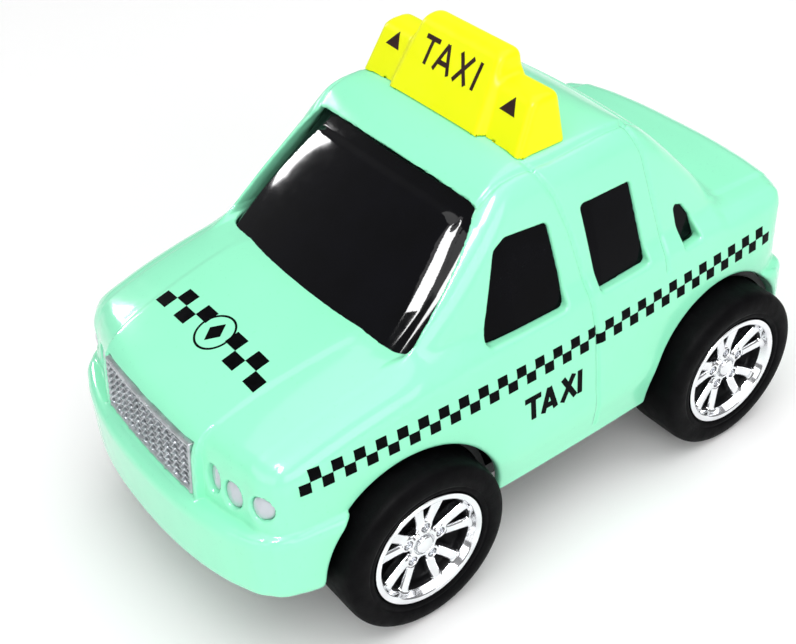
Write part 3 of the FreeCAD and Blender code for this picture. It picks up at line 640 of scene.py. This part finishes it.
MAT = {
    "paint": paint_material(),
    "glazing": finish_material(
        "black_glazing", ((0.0012, 0.0012, 0.002), (0.002, 0.002, 0.0035)), (0.045, 0.09),
        spec=0.28, tint_scale=200.0),
    "side_glazing": finish_material(
        "black_side_glazing", ((0.001, 0.001, 0.0016), (0.0018, 0.0018, 0.003)), (0.06, 0.11),
        spec=0.05, tint_scale=200.0, grain=(380.0, 0.03, 0.0001)),
    "print": finish_material(
        "black_print", ((0.001, 0.001, 0.0014), (0.002, 0.002, 0.003)), (0.30, 0.42),
        spec=0.03, tint_scale=1500.0),
    "sign": finish_material(
        "sign_yellow", ((0.93, 0.96, 0.005), (0.96, 0.99, 0.008)), (0.28, 0.42),
        spec=0.18, tint_scale=160.0, grain=(1600.0, 0.08, 0.00006)),
    "sign_print": finish_material(
        "sign_print", ((0.018, 0.004, 0.003), (0.035, 0.008, 0.006)), (0.3, 0.45),
        spec=0.3, tint_scale=2200.0),
    "silver": finish_material(
        "silver_paint", ((0.40, 0.42, 0.44), (0.56, 0.58, 0.61)), (0.26, 0.42), metallic=0.8,
        tint_scale=700.0, rough_scale=2400.0, grain=(3500.0, 0.18, 0.00005)),
    "lens": finish_material(
        "lamp_paint", ((0.50, 0.54, 0.58), (0.58, 0.61, 0.66)), (0.26, 0.38), metallic=0.35,
        coat=0.2, tint_scale=160.0, grain=(2600.0, 0.06, 0.00005)),
    "red": finish_material(
        "tail_red", ((0.30, 0.003, 0.003), (0.40, 0.006, 0.005)), (0.14, 0.24),
        spec=0.3, tint_scale=400.0),
    "chrome": finish_material(
        "plated_rim", ((0.80, 0.81, 0.83), (0.90, 0.91, 0.93)), (0.07, 0.16), metallic=1.0,
        tint_scale=500.0, rough_scale=1300.0, grain=(900.0, 0.05, 0.0001)),
    "tyre": finish_material(
        "tyre_rubber", ((0.0012, 0.0012, 0.0016), (0.0026, 0.0026, 0.0032)), (0.48, 0.66),
        spec=0.05, tint_scale=600.0, grain=(5200.0, 0.35, 0.00006)),
    # near black for painted shade: the plate behind the grille's mesh and the liner inside the wheels
    "painted_shade_black": finish_material(
        "satin_black_painted_shade", ((0.002, 0.002, 0.0025), (0.004, 0.004, 0.005)), (0.4, 0.55),
        spec=0.12, tint_scale=500.0, grain=(4200.0, 0.3, 0.00005)),
    "base": finish_material(
        "base_moulding", ((0.006, 0.006, 0.007), (0.012, 0.012, 0.013)), (0.42, 0.60),
        spec=0.3, tint_scale=350.0, grain=(4500.0, 0.45, 0.00008)),
    "case": finish_material(
        "case_moulding", ((0.030, 0.030, 0.033), (0.048, 0.048, 0.052)), (0.4, 0.55),
        tint_scale=420.0, grain=(3800.0, 0.35, 0.00006)),
    "steel": finish_material(
        "turned_steel", ((0.48, 0.48, 0.47), (0.62, 0.62, 0.61)), (0.22, 0.38), metallic=1.0,
        tint_scale=900.0, rough_scale=2600.0, grain=(3000.0, 0.15, 0.00004)),
    "zinc": finish_material(
        "plated_screw", ((0.55, 0.56, 0.58), (0.72, 0.72, 0.70)), (0.2, 0.4), metallic=1.0,
        tint_scale=1400.0, rough_scale=2600.0, grain=(3000.0, 0.15, 0.00004)),
    "acetal": finish_material(
        "natural_acetal", ((0.72, 0.70, 0.62), (0.80, 0.78, 0.70)), (0.3, 0.42),
        tint_scale=700.0, grain=(2600.0, 0.12, 0.00004)),
}
# finishes of the CAD nodes that stay visible
CAD_FINISH = {
    "base_plate": "base", "shell_screws": "zinc", "motor_screws": "zinc",
    "motor_case_left": "case", "motor_case_right": "case",
    "front_axle": "steel", "rear_axle": "steel",
    "axle_gear": "acetal", "gear_a": "acetal", "gear_b": "acetal", "flywheel_pinion": "acetal",
    "gear_a_shaft": "steel", "gear_b_shaft": "steel", "flywheel_shaft": "steel",
    "flywheel_left": "steel", "flywheel_right": "steel",
}


def dress(obj, key):
    obj.data.materials.clear()
    obj.data.materials.append(MAT[key])


def piece(obj, body, slot, key, *stands_for):
    """Gives an object its finish and the body it rides on, and hides the CAD nodes it stands for; slot is not
    used.
    """
    dress(obj, key)
    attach(obj, body)
    if stands_for:
        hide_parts(*stands_for)
    return obj


for name, key in CAD_FINISH.items():
    dress(NODES[name], key)

# ---- the body ------------------------------------------------------------------------
shell = field_object("body_shell_painted", shell_field, (-22.6, -41.6, 8.0), (22.6, 41.6, 46.4), FINE)
piece(shell, "car", "body_paint", "paint", "body_shell")


# ---- cab glazing ---------------------------------------------------------------------
GLASS_DEPTH = 1.30            # of the moulding behind the cab's skin
GLASS_WALL = 0.9
PANE = 0.26                   # how far the raised screen panes come forward
PANE_EDGE = 0.85              # from the opening's edge to the raised pane
PANE_INSET = 1.75             # the same on the windscreen
SIDE_PANE = 0.92              # how far the side panes come forward


def glazing_field(x, y, z):
    """The black moulding in the cab, with a raised pane at each opening."""
    ax = np.abs(x)
    cab = cab_field(x, y, z)
    side = (step01((0.25 - side_windows(y, z)) / 0.3) * step01((ax - 10.0) / 1.0)
            * (np.abs(y - 7.5) < 17))
    # the windscreen's pane goes on below the opening's lower edge
    deep = [(px, pz - 3.5) if pz < 32 else (px, pz) for px, pz in SCREEN_FRONT]
    screen = np.where(y < 0, poly_sd(deep, x, z), rear_screen(x, z))
    screen = screen + np.where(y < 0, PANE_INSET - PANE_EDGE, 0.0)
    # the pane's left edge falls away more slowly than the others
    slope_w = 0.3 + 1.1 * step01((ax - 10.0) / 2.0) * step01((40.0 - z) / 2.5) * (x > 0)
    ends = step01((-screen - PANE_EDGE) / slope_w) * step01((np.abs(y - 5.0) - 9.0) / 2.0)
    dome = 0.26 * np.clip(1 - ((z - 35.6) / 7.0) ** 2, 0, 1) * ends
    relief = np.maximum(SIDE_PANE * side, PANE * ends) + dome
    f = smax(cab + GLASS_DEPTH - relief, -(cab + GLASS_DEPTH + GLASS_WALL), 0.2)
    return np.maximum(f, 27.4 - z)


glass = field_object("cab_glazing_black", glazing_field, (-20.5, -26, 27.0), (20.5, 34, 45.4), FINE)
piece(glass, "car", "glazing", "glazing", "cab_glazing")
# the side panes have a duller finish than the screens
glass.data.materials.append(MAT["side_glazing"])
middles = np.zeros(len(glass.data.polygons) * 3)
glass.data.polygons.foreach_get("center", middles)
middles = middles.reshape(-1, 3) / MM - np.array([0, 0, LIFT])
beside = (side_windows(middles[:, 1], middles[:, 2]) < 1.0) & (np.abs(middles[:, 0]) > 13.0)
glass.data.polygons.foreach_set("material_index", beside.astype(np.int32))


# ---- roof sign -----------------------------------------------------------------------
# half width at foot and top, y of the leaning face at foot and top, y of the back, z of the top
SIGN_MID = (8.0, 6.6, -0.5, 4.75, 7.6, 51.8)
SIGN_WING = (13.6, 12.6, 0.4, 3.8, 7.4, 49.4)
SIGN_FOOT_Z = 43.1
SIGN_ROUND = 0.9


def sign_block(x, y, z, hw0, hw1, y0, y1, back, z1):
    rise = z1 - SIGN_FOOT_Z
    t = (z - SIGN_FOOT_Z) / rise
    side = np.abs(x) - (hw0 + (hw1 - hw0) * t)
    front = (y0 + (y1 - y0) * t - y) / math.hypot(1, (y1 - y0) / rise)
    f = smax(side, front, SIGN_ROUND)
    f = smax(f, y - back + 0.3 * t, SIGN_ROUND)
    return smax(f, z - z1, SIGN_ROUND)


def sign_field(x, y, z):
    """A middle block and a lower, wider one, standing on the roof."""
    f = smin(sign_block(x, y, z, *SIGN_MID), sign_block(x, y, z, *SIGN_WING), 0.7)
    return np.maximum(f, 0.03 - cab_field(x, y, z))


sign = field_object("roof_sign_moulded", sign_field, (-14.2, -2.0, 41.0), (14.2, 8.4, 52.2), FINE * 0.85)
piece(sign, "car", "sign", "sign", "roof_sign")


# ---- printing ------------------------------------------------------------------------
def drop_on(field, p, axis, sign, reach=6.0):
    """Moves points along an axis on to the surface, coming from outside, by halving the interval."""
    p = p.copy()
    a = p.copy()
    lo_v = np.zeros(len(p))
    hi_v = np.full(len(p), reach)
    for _ in range(34):
        mid = (lo_v + hi_v) / 2
        a[:, axis] = p[:, axis] - sign * mid
        inside = field(a[:, 0], a[:, 1], a[:, 2]) < 0
        hi_v = np.where(inside, mid, hi_v)
        lo_v = np.where(inside, lo_v, mid)
    a[:, axis] = p[:, axis] - sign * (lo_v + hi_v) / 2
    return a


SUNK = 0.02                   # how far prints reach into the surface


def printed(name, quads, place, field, axis, sign, thick=0.035, cells=4):
    """Thin printed areas: each quad in the print's own plane is laid on the surface."""
    tops, faces = [], []
    for q in quads:
        q = np.array(q, float)
        t = np.linspace(0, 1, cells + 1)
        s, u = np.meshgrid(t, t, indexing="ij")
        s, u = s.ravel()[:, None], u.ravel()[:, None]
        flat = (1 - s) * (1 - u) * q[0] + s * (1 - u) * q[1] + s * u * q[2] + (1 - s) * u * q[3]
        tops.append(place(flat))
    pts = drop_on(field, np.concatenate(tops), axis, sign)
    nrm = unit(gradient(field, pts))
    verts = np.concatenate([pts + nrm * thick, pts - nrm * SUNK])
    n1 = cells + 1
    half = len(pts)
    a0, b0 = pts[1] - pts[0], pts[n1] - pts[0]
    flip = np.dot(np.cross(b0, a0), nrm[0]) < 0
    for k in range(len(quads)):
        o = k * n1 * n1
        for i in range(cells):
            for j in range(cells):
                c = [o + i * n1 + j, o + (i + 1) * n1 + j,
                     o + (i + 1) * n1 + j + 1, o + i * n1 + j + 1]
                faces.append(c if not flip else c[::-1])
                under = [half + v for v in c]
                faces.append(under[::-1] if not flip else under)
        rim = ([o + i * n1 for i in range(cells)] + [o + cells * n1 + j for j in range(cells)]
               + [o + (cells - i) * n1 + cells for i in range(cells)]
               + [o + cells - j for j in range(cells)])
        for i, v in enumerate(rim):
            w = rim[(i + 1) % len(rim)]
            c = [w, v, half + v, half + w]
            faces.append(c if not flip else c[::-1])
    obj = to_object(name, verts, faces)
    obj.data.polygons.foreach_set("use_smooth", np.zeros(len(obj.data.polygons), bool))
    return obj


def stroke(a, b, w):
    """A bar from a to b of width w, as a quad."""
    a, b = np.array(a, float), np.array(b, float)
    d = (b - a) / np.linalg.norm(b - a)
    n = np.array([-d[1], d[0]]) * w / 2
    return [a - n, b - n, b + n, a + n]


def word(ends, w):
    return [stroke(a, b, w) for a, b in ends]


STRIPE_Z = 23.85              # line between the stripe's two rows
SQUARE = 1.245
STRIPE_Y0 = -31.6
STRIPE_COUNT = 53
OUTSIDE_X, OUTSIDE_TOP, OUTSIDE_FRONT = 23.5, 32.5, -2.0     # where prints start before they are laid on


def stripe_quads():
    quads = []
    for i in range(STRIPE_COUNT):
        y0 = STRIPE_Y0 + i * SQUARE
        z0 = STRIPE_Z - SQUARE if i % 2 == 0 else STRIPE_Z
        quads.append([(y0, z0), (y0 + SQUARE, z0),
                      (y0 + SQUARE, z0 + SQUARE), (y0, z0 + SQUARE)])
    return quads


def side_place(s):
    return lambda f: np.stack([np.full(len(f), s * OUTSIDE_X), f[:, 0], f[:, 1]], 1)


# sloping block capitals on the front doors: baseline, cap height and positions along the door
DOOR_BASE, DOOR_TOP = 17.65, 20.65
DOOR_WORD = [((-4.62, DOOR_TOP - 0.28), (-2.40, DOOR_TOP - 0.28)),
             ((-3.50, DOOR_TOP), (-3.50, DOOR_BASE)),
             ((-1.22, DOOR_TOP), (-2.20, DOOR_BASE)), ((-1.22, DOOR_TOP), (-0.42, DOOR_BASE)),
             ((-1.85, DOOR_BASE + 0.78), (-0.72, DOOR_BASE + 0.78)),
             ((0.72, DOOR_TOP), (2.42, DOOR_BASE)), ((2.28, DOOR_TOP), (0.52, DOOR_BASE)),
             ((3.18, DOOR_TOP), (3.08, DOOR_BASE))]
for label, s in (("left", 1), ("right", -1)):
    printed_stripe = printed("print_stripe_" + label, stripe_quads(), side_place(s), skin_field,
                             0, s, cells=3)
    piece(printed_stripe, "car", "glazing", "print")
    # on the right side the word runs the other way along the car
    strokes = DOOR_WORD if s > 0 else [((-a[0] - 1.4, a[1]), (-b[0] - 1.4, b[1]))
                                       for a, b in DOOR_WORD]
    lettering = printed("print_door_" + label, word(strokes, 0.66), side_place(s), skin_field,
                        0, s, 0.045, 6)
    piece(lettering, "car", "glazing", "print")


# ---- bonnet print: four squares each side of a ring with a plain lozenge ------------------
HOOD_Y = -28.4
HOOD_STEP, HOOD_ROW = 2.0, 1.66            # size of one square across and along the bonnet


def hood_quads():
    quads = []
    for row, columns in ((-1, (0, 2, 7, 9)), (0, (1, 3, 6, 8))):
        for c in columns:
            x0 = (c - 5) * HOOD_STEP
            y0 = HOOD_Y + row * HOOD_ROW
            quads.append([(x0, y0), (x0 + HOOD_STEP, y0),
                          (x0 + HOOD_STEP, y0 + HOOD_ROW), (x0, y0 + HOOD_ROW)])
    return quads


def ring_quads(r0, r1, n=48):
    quads = []
    for i in range(n):
        a, b = 2 * math.pi * i / n, 2 * math.pi * (i + 1) / n
        quads.append([(r * math.cos(t), HOOD_Y + r * math.sin(t))
                      for r, t in ((r0, a), (r1, a), (r1, b), (r0, b))])
    return quads


def top_place(f):
    return np.stack([f[:, 0], f[:, 1], np.full(len(f), OUTSIDE_TOP)], 1)


hood_print = printed("print_bonnet", hood_quads(), top_place, lower_field, 2, 1)
piece(hood_print, "car", "glazing", "print")
ring = printed("print_bonnet_ring", ring_quads(2.12, 2.36), top_place, lower_field, 2, 1, 0.04, 1)
piece(ring, "car", "glazing", "print")
lozenge = [(0, HOOD_Y - 1.35), (1.0, HOOD_Y), (0, HOOD_Y + 1.35), (-1.0, HOOD_Y)]
mark = printed("print_bonnet_lozenge", [lozenge], top_place, lower_field, 2, 1, 0.045, 6)
piece(mark, "car", "glazing", "print")


# ---- sign lettering ------------------------------------------------------------------
def sign_place(f):
    return np.stack([f[:, 0], np.full(len(f), OUTSIDE_FRONT), f[:, 1]], 1)


SIGN_BASE, SIGN_TOP = 47.75, 50.35
SIGN_WORD = [((-4.65, SIGN_TOP - 0.15), (-2.35, SIGN_TOP - 0.15)),
             ((-3.45, SIGN_TOP), (-3.6, SIGN_BASE)),
             ((-0.92, SIGN_TOP), (-2.1, SIGN_BASE)), ((-0.92, SIGN_TOP), (0.34, SIGN_BASE)),
             ((-1.6, SIGN_BASE + 0.85), (-0.1, SIGN_BASE + 0.85)),
             ((1.25, SIGN_TOP), (3.2, SIGN_BASE)), ((3.28, SIGN_TOP), (1.25, SIGN_BASE)),
             ((4.5, SIGN_TOP), (4.38, SIGN_BASE))]
letters = printed("print_sign", word(SIGN_WORD, 0.45), sign_place, sign_field, 1, -1, 0.03, 5)
piece(letters, "car", "sign", "sign_print")
# plain triangles on the sign's wings; a quad whose upper two corners nearly meet
ARROWS = [[(cx - 1.2, cz), (cx + 1.15, cz - 0.08), (cx + 0.42, cz + 1.55), (cx + 0.36, cz + 1.55)]
          for cx, cz in ((-9.85, 47.4), (9.75, 47.25))]
arrows = printed("print_sign_arrows", ARROWS, sign_place, sign_field, 1, -1, 0.03, 5)
piece(arrows, "car", "sign", "sign_print")


# ---- grille and lamps ----------------------------------------------------------------
def nose_depth(x, y, z):
    """How far a point lies behind the nose's skin, from the front."""
    ax = np.abs(x)
    return -plan_front(nose_up, ax, y, nose_back(z) + nose_step(ax))


GRILLE_COLUMNS, GRILLE_ROWS = 11, 7
GRILLE_GAP = 0.06             # clearance in the shell's opening
GRILLE_EDGE = 0.35            # from the insert's edge to its first bar


def grille_field(x, y, z):
    """A woven mesh of bars inside a thin frame."""
    w = GRILLE_HALF_W - GRILLE_GAP
    h = GRILLE_HALF_H - GRILLE_GAP
    d = nose_depth(x, y, z)
    px = 2 * (w - GRILLE_EDGE) / GRILLE_COLUMNS
    pz = 2 * (h - GRILLE_EDGE) / GRILLE_ROWS
    cx = (x + w - GRILLE_EDGE) / px
    cz = (z - GRILLE_MID + h - GRILLE_EDGE) / pz
    u = np.abs(cx - np.round(cx)) * px
    v = np.abs(cz - np.round(cz)) * pz
    weave = 0.15 * np.cos(2 * np.pi * cz)
    tall = smax(u - 0.20, 0.12 + weave - d, 0.1)
    wide = smax(v - 0.11, 0.34 - d, 0.1)
    bars = smin(tall, wide, 0.12)
    edge = np.maximum(np.abs(x) - w, np.abs(z - GRILLE_MID) - h)
    frame_bar = smax(smax(edge, -(edge + 0.42), 0.12), 0.05 - d, 0.15)
    f = smin(bars, frame_bar, 0.1)
    f = np.maximum(f, edge)
    return np.maximum(f, d - 0.95)


def grille_shade_plate_field(x, y, z):
    """Black plate behind the mesh: painted shade in the grille's holes."""
    edge = np.maximum(np.abs(x) - GRILLE_HALF_W + 0.1, np.abs(z - GRILLE_MID) - 3.1)
    d = nose_depth(x, y, z)
    return smax(smax(edge, 1.02 - d, 0.1), d - 1.7, 0.1)


grille = field_object("grille_mesh", grille_field, (-9.6, -39.4, 18.2), (9.6, -35.4, 25.4),
                      FINE * 0.5)
piece(grille, "car", "grille", "silver", "grille_insert")
# a black plate behind the mesh darkens the grille's holes: painted shade
behind = field_object("grille_painted_shade_plate", grille_shade_plate_field, (-9.6, -38.6, 18.2), (9.6, -35.2, 25.4),
                      0.3)
piece(behind, "car", "base", "painted_shade_black")


LAMP_SINK = (0.75, 0.50, 0.44)             # depth of each lamp's rim behind the panel


def lamps_field(x, y, z):
    """Three domed ovals on one side of the grille."""
    d = nose_depth(x, y, z)
    f = None
    for (cx, cz, a, b), sink in zip(LAMPS, LAMP_SINK):
        q = oval_sd(x, z, cx, cz, a - 0.03, b - 0.03)
        bowl = np.clip(-q / a, 0, 1)
        one = smax(q, sink - 0.42 * np.sqrt(bowl + 1e-6) - d, 0.12)
        f = one if f is None else np.minimum(f, one)
    return np.maximum(f, d - 1.7)


def one_side(name, field, s, lo, hi, cell):
    """A field drawn for the left side, meshed on the side s; lo and hi are the left side's box."""
    ends = (s * lo[0], s * hi[0])
    return field_object(name, lambda x, y, z: field(x * s, y, z), (min(ends), *lo[1:]),
                        (max(ends), *hi[1:]), cell)


for label, s in (("left", 1), ("right", -1)):
    lamps = one_side("headlamps_" + label + "_cast", lamps_field, s, (10.2, -39.6, 18.8),
                     (18.9, -30.0, 25.0), FINE * 0.6)
    piece(lamps, "car", "lamps", "lens", "headlamps_" + label)


def tail_field(x, y, z):
    """A square ribbed lens."""
    d = -plan_rear(tail_up, np.abs(x), y, tail_back(z))
    q = smax(np.abs(x - TAIL_X) - 2.32, np.abs(z - TAIL_Z) - 2.22, 0.7)
    ribs = 0.06 * np.cos(2 * np.pi * (z - TAIL_Z) / 1.48)
    return np.maximum(smax(q, 0.22 - 0.14 * step01(-q / 0.9) + ribs - d, 0.3), d - 1.5)


for label, s in (("left", 1), ("right", -1)):
    tail = one_side("tail_lamp_" + label + "_lens", tail_field, s, (12.2, 33.5, 21.4),
                    (17.8, 40.2, 26.8), FINE * 0.7)
    piece(tail, "car", "tail_lamps", "red", "tail_lamp_" + label)


# ---- wheels --------------------------------------------------------------------------
TYRE_R = 10.2
RIM_FACE = 23.4               # x of the lip
RIM_BACK = 16.4
SPOKE_R = 6.2                 # where the spokes meet the barrel
SPOKE_PAIRS = 5
LUG_AT, LUG_R = 2.2, 0.54


def rim_field(x, u, v):
    """A plated wheel about the X axis: lip, deep barrel, five forked spokes and a lugged hub."""
    r = np.sqrt(u * u + v * v)
    mid = np.interp(x, [RIM_BACK, 18.5, 22.2, 22.9, 23.3], [5.85, 5.95, 6.10, 6.42, 6.58])
    half = np.interp(x, [RIM_BACK, 22.2, 22.9, 23.3], [0.30, 0.32, 0.36, 0.36])
    barrel = smax(smax(np.abs(r - mid) - half, x - RIM_FACE + 0.03, 0.2), RIM_BACK - x, 0.2)
    turn = np.arctan2(v, u)
    sector = 2 * np.pi / SPOKE_PAIRS
    a = turn - sector * np.round(turn / sector)
    p, q = r * np.cos(a), r * np.abs(np.sin(a))
    off = np.interp(p, [0, 2.0, 3.0, 4.0, 5.0, SPOKE_R], [0.28, 0.40, 0.62, 0.94, 1.22, 1.50])
    width = np.interp(p, [0, 2.0, 4.0, SPOKE_R], [0.62, 0.60, 0.64, 0.74])
    arm = np.abs(q - off) - width
    crest = np.clip(np.abs(q - off) / 0.62, 0, 1) ** 3
    front = 22.05 + 0.55 * (r / SPOKE_R) ** 2 - 0.14 * crest
    spokes = smax(smax(arm, x - front, 0.28), front - 1.15 - x, 0.25)
    spokes = np.maximum(spokes, 1.3 - p)
    spokes = smax(spokes, r - 6.35, 0.1)
    hub = smax(smax(r - 1.75, x - 22.3, 0.3), 16.0 - x, 0.2)
    cap = smax(r - 1.05, x - 22.62 + 0.10 * r * r, 0.22)
    cap = smax(cap, 21.0 - x, 0.1)
    # a hole with a nut at the root of each spoke pair
    lug = np.sqrt((p - LUG_AT) ** 2 + (r * np.sin(a)) ** 2)
    boss = smax(lug - 0.82, x - 22.28, 0.25)
    boss = smax(boss, 21.0 - x, 0.2)
    nut = smax(smax(lug - 0.24, x - 21.85, 0.1), 21.3 - x, 0.1)
    f = smin(smin(barrel, spokes, 0.25), smin(hub, boss, 0.3), 0.25)
    f = smax(f, -np.maximum(lug - LUG_R, 21.5 - x), 0.12)
    ring_gap = np.maximum(np.abs(r - 1.2) - 0.10, 22.0 - x)
    f = smax(f, -ring_gap, 0.08)
    return np.minimum(np.minimum(f, cap), nut)


def rounded_profile(points, rounds=3):
    """A closed outline with its corners cut back again and again, so that they round off."""
    p = np.array(points, float)
    for _ in range(rounds):
        nxt = np.roll(p, -1, 0)
        p = np.stack([0.75 * p + 0.25 * nxt, 0.25 * p + 0.75 * nxt], 1).reshape(-1, 2)
    return p


def lathe(profile, segments=176):
    """A closed (x, r) profile turned about X."""
    n = len(profile)
    t = np.arange(segments) * 2 * math.pi / segments
    x = np.repeat(profile[None, :, 0], segments, 0)
    y = profile[None, :, 1] * np.cos(t)[:, None]
    z = profile[None, :, 1] * np.sin(t)[:, None]
    verts = np.stack([x, y, z], -1).reshape(-1, 3)
    i, j = np.meshgrid(np.arange(segments), np.arange(n), indexing="ij")
    i2, j2 = (i + 1) % segments, (j + 1) % n
    faces = np.stack([i * n + j, i * n + j2, i2 * n + j2, i2 * n + j], -1).reshape(-1, 4)
    area = np.sum(profile[:, 0] * np.roll(profile[:, 1], -1)
                  - np.roll(profile[:, 0], -1) * profile[:, 1])
    if area < 0:
        faces = faces[:, ::-1]
    return verts, faces


# (x, r) outlines of the left wheels' tyre and of the dark liner behind the spokes, which is painted shade in
# the wheel's depth
TYRE_PROFILE = [(15.4, 7.0), (15.4, 8.2), (15.42, 9.2), (15.7, 9.85), (16.3, 10.12), (17.2, TYRE_R),
                (18.4, TYRE_R), (20.6, TYRE_R), (21.8, TYRE_R), (22.6, 10.14), (23.15, 9.9),
                (23.48, 9.3), (23.6, 8.6), (23.52, 7.9), (23.38, 7.75), (23.42, 7.45), (23.3, 7.15),
                (23.05, 7.02), (22.8, 7.0), (22.8, 6.52), (19.5, 6.5), (16.3, 6.52), (16.3, 7.0)]
SHADE_LINER_PROFILE = [(20.75, 1.5), (20.75, 5.5), (21.9, 5.66), (22.42, 5.74), (22.42, 5.9),
                 (20.15, 5.9), (20.15, 1.5)]
rim_verts, rim_faces = net(rim_field, (15.6, -7.2, -7.2), (23.8, 7.2, 7.2), RIM_FINE)
rim_normals = unit(gradient(rim_field, rim_verts))
tyre_verts, tyre_faces = lathe(rounded_profile(TYRE_PROFILE))
shade_liner_verts, shade_liner_faces = lathe(rounded_profile(SHADE_LINER_PROFILE, 1), 96)


def placed(verts, normals, s, yc, turn):
    """A wheel part turned about its axle, moved to its axle and, on the right, turned to face outwards."""
    c, k = math.cos(turn), math.sin(turn)
    rot = np.array([[1, 0, 0], [0, c, -k], [0, k, c]])
    if s < 0:
        rot = np.diag([-1.0, -1.0, 1.0]) @ rot
    v = verts @ rot.T + np.array([0, yc, AXLE_Z])
    return v, (normals @ rot.T if normals is not None else None)


# how far each rim is turned at rest, radians
TURNS = {("front", 1): 0.16, ("front", -1): 1.0, ("rear", 1): 0.38, ("rear", -1): 0.2}
for end, yc in (("front", FRONT_Y), ("rear", REAR_Y)):
    for label, s in (("left", 1), ("right", -1)):
        body = end + "_wheels"
        v, normals = placed(rim_verts, rim_normals, s, yc, TURNS[(end, s)])
        rim = to_object(end + "_rim_" + label + "_plated", v, rim_faces, normals)
        piece(rim, body, "rim", "chrome", end + "_rim_" + label)
        v, _ = placed(tyre_verts, None, s, yc, 0.0)
        tyre = to_object(end + "_tyre_" + label + "_rubber", v, tyre_faces)
        piece(tyre, body, "tyre", "tyre", end + "_tyre_" + label)
        # black liner behind the spokes and inside the barrel: painted shade in the wheel's depth
        v, _ = placed(shade_liner_verts, None, s, yc, 0.0)
        shade_liner = to_object(end + "_hub_shade_liner_" + label, v, shade_liner_faces)
        piece(shade_liner, body, "tyre", "painted_shade_black")
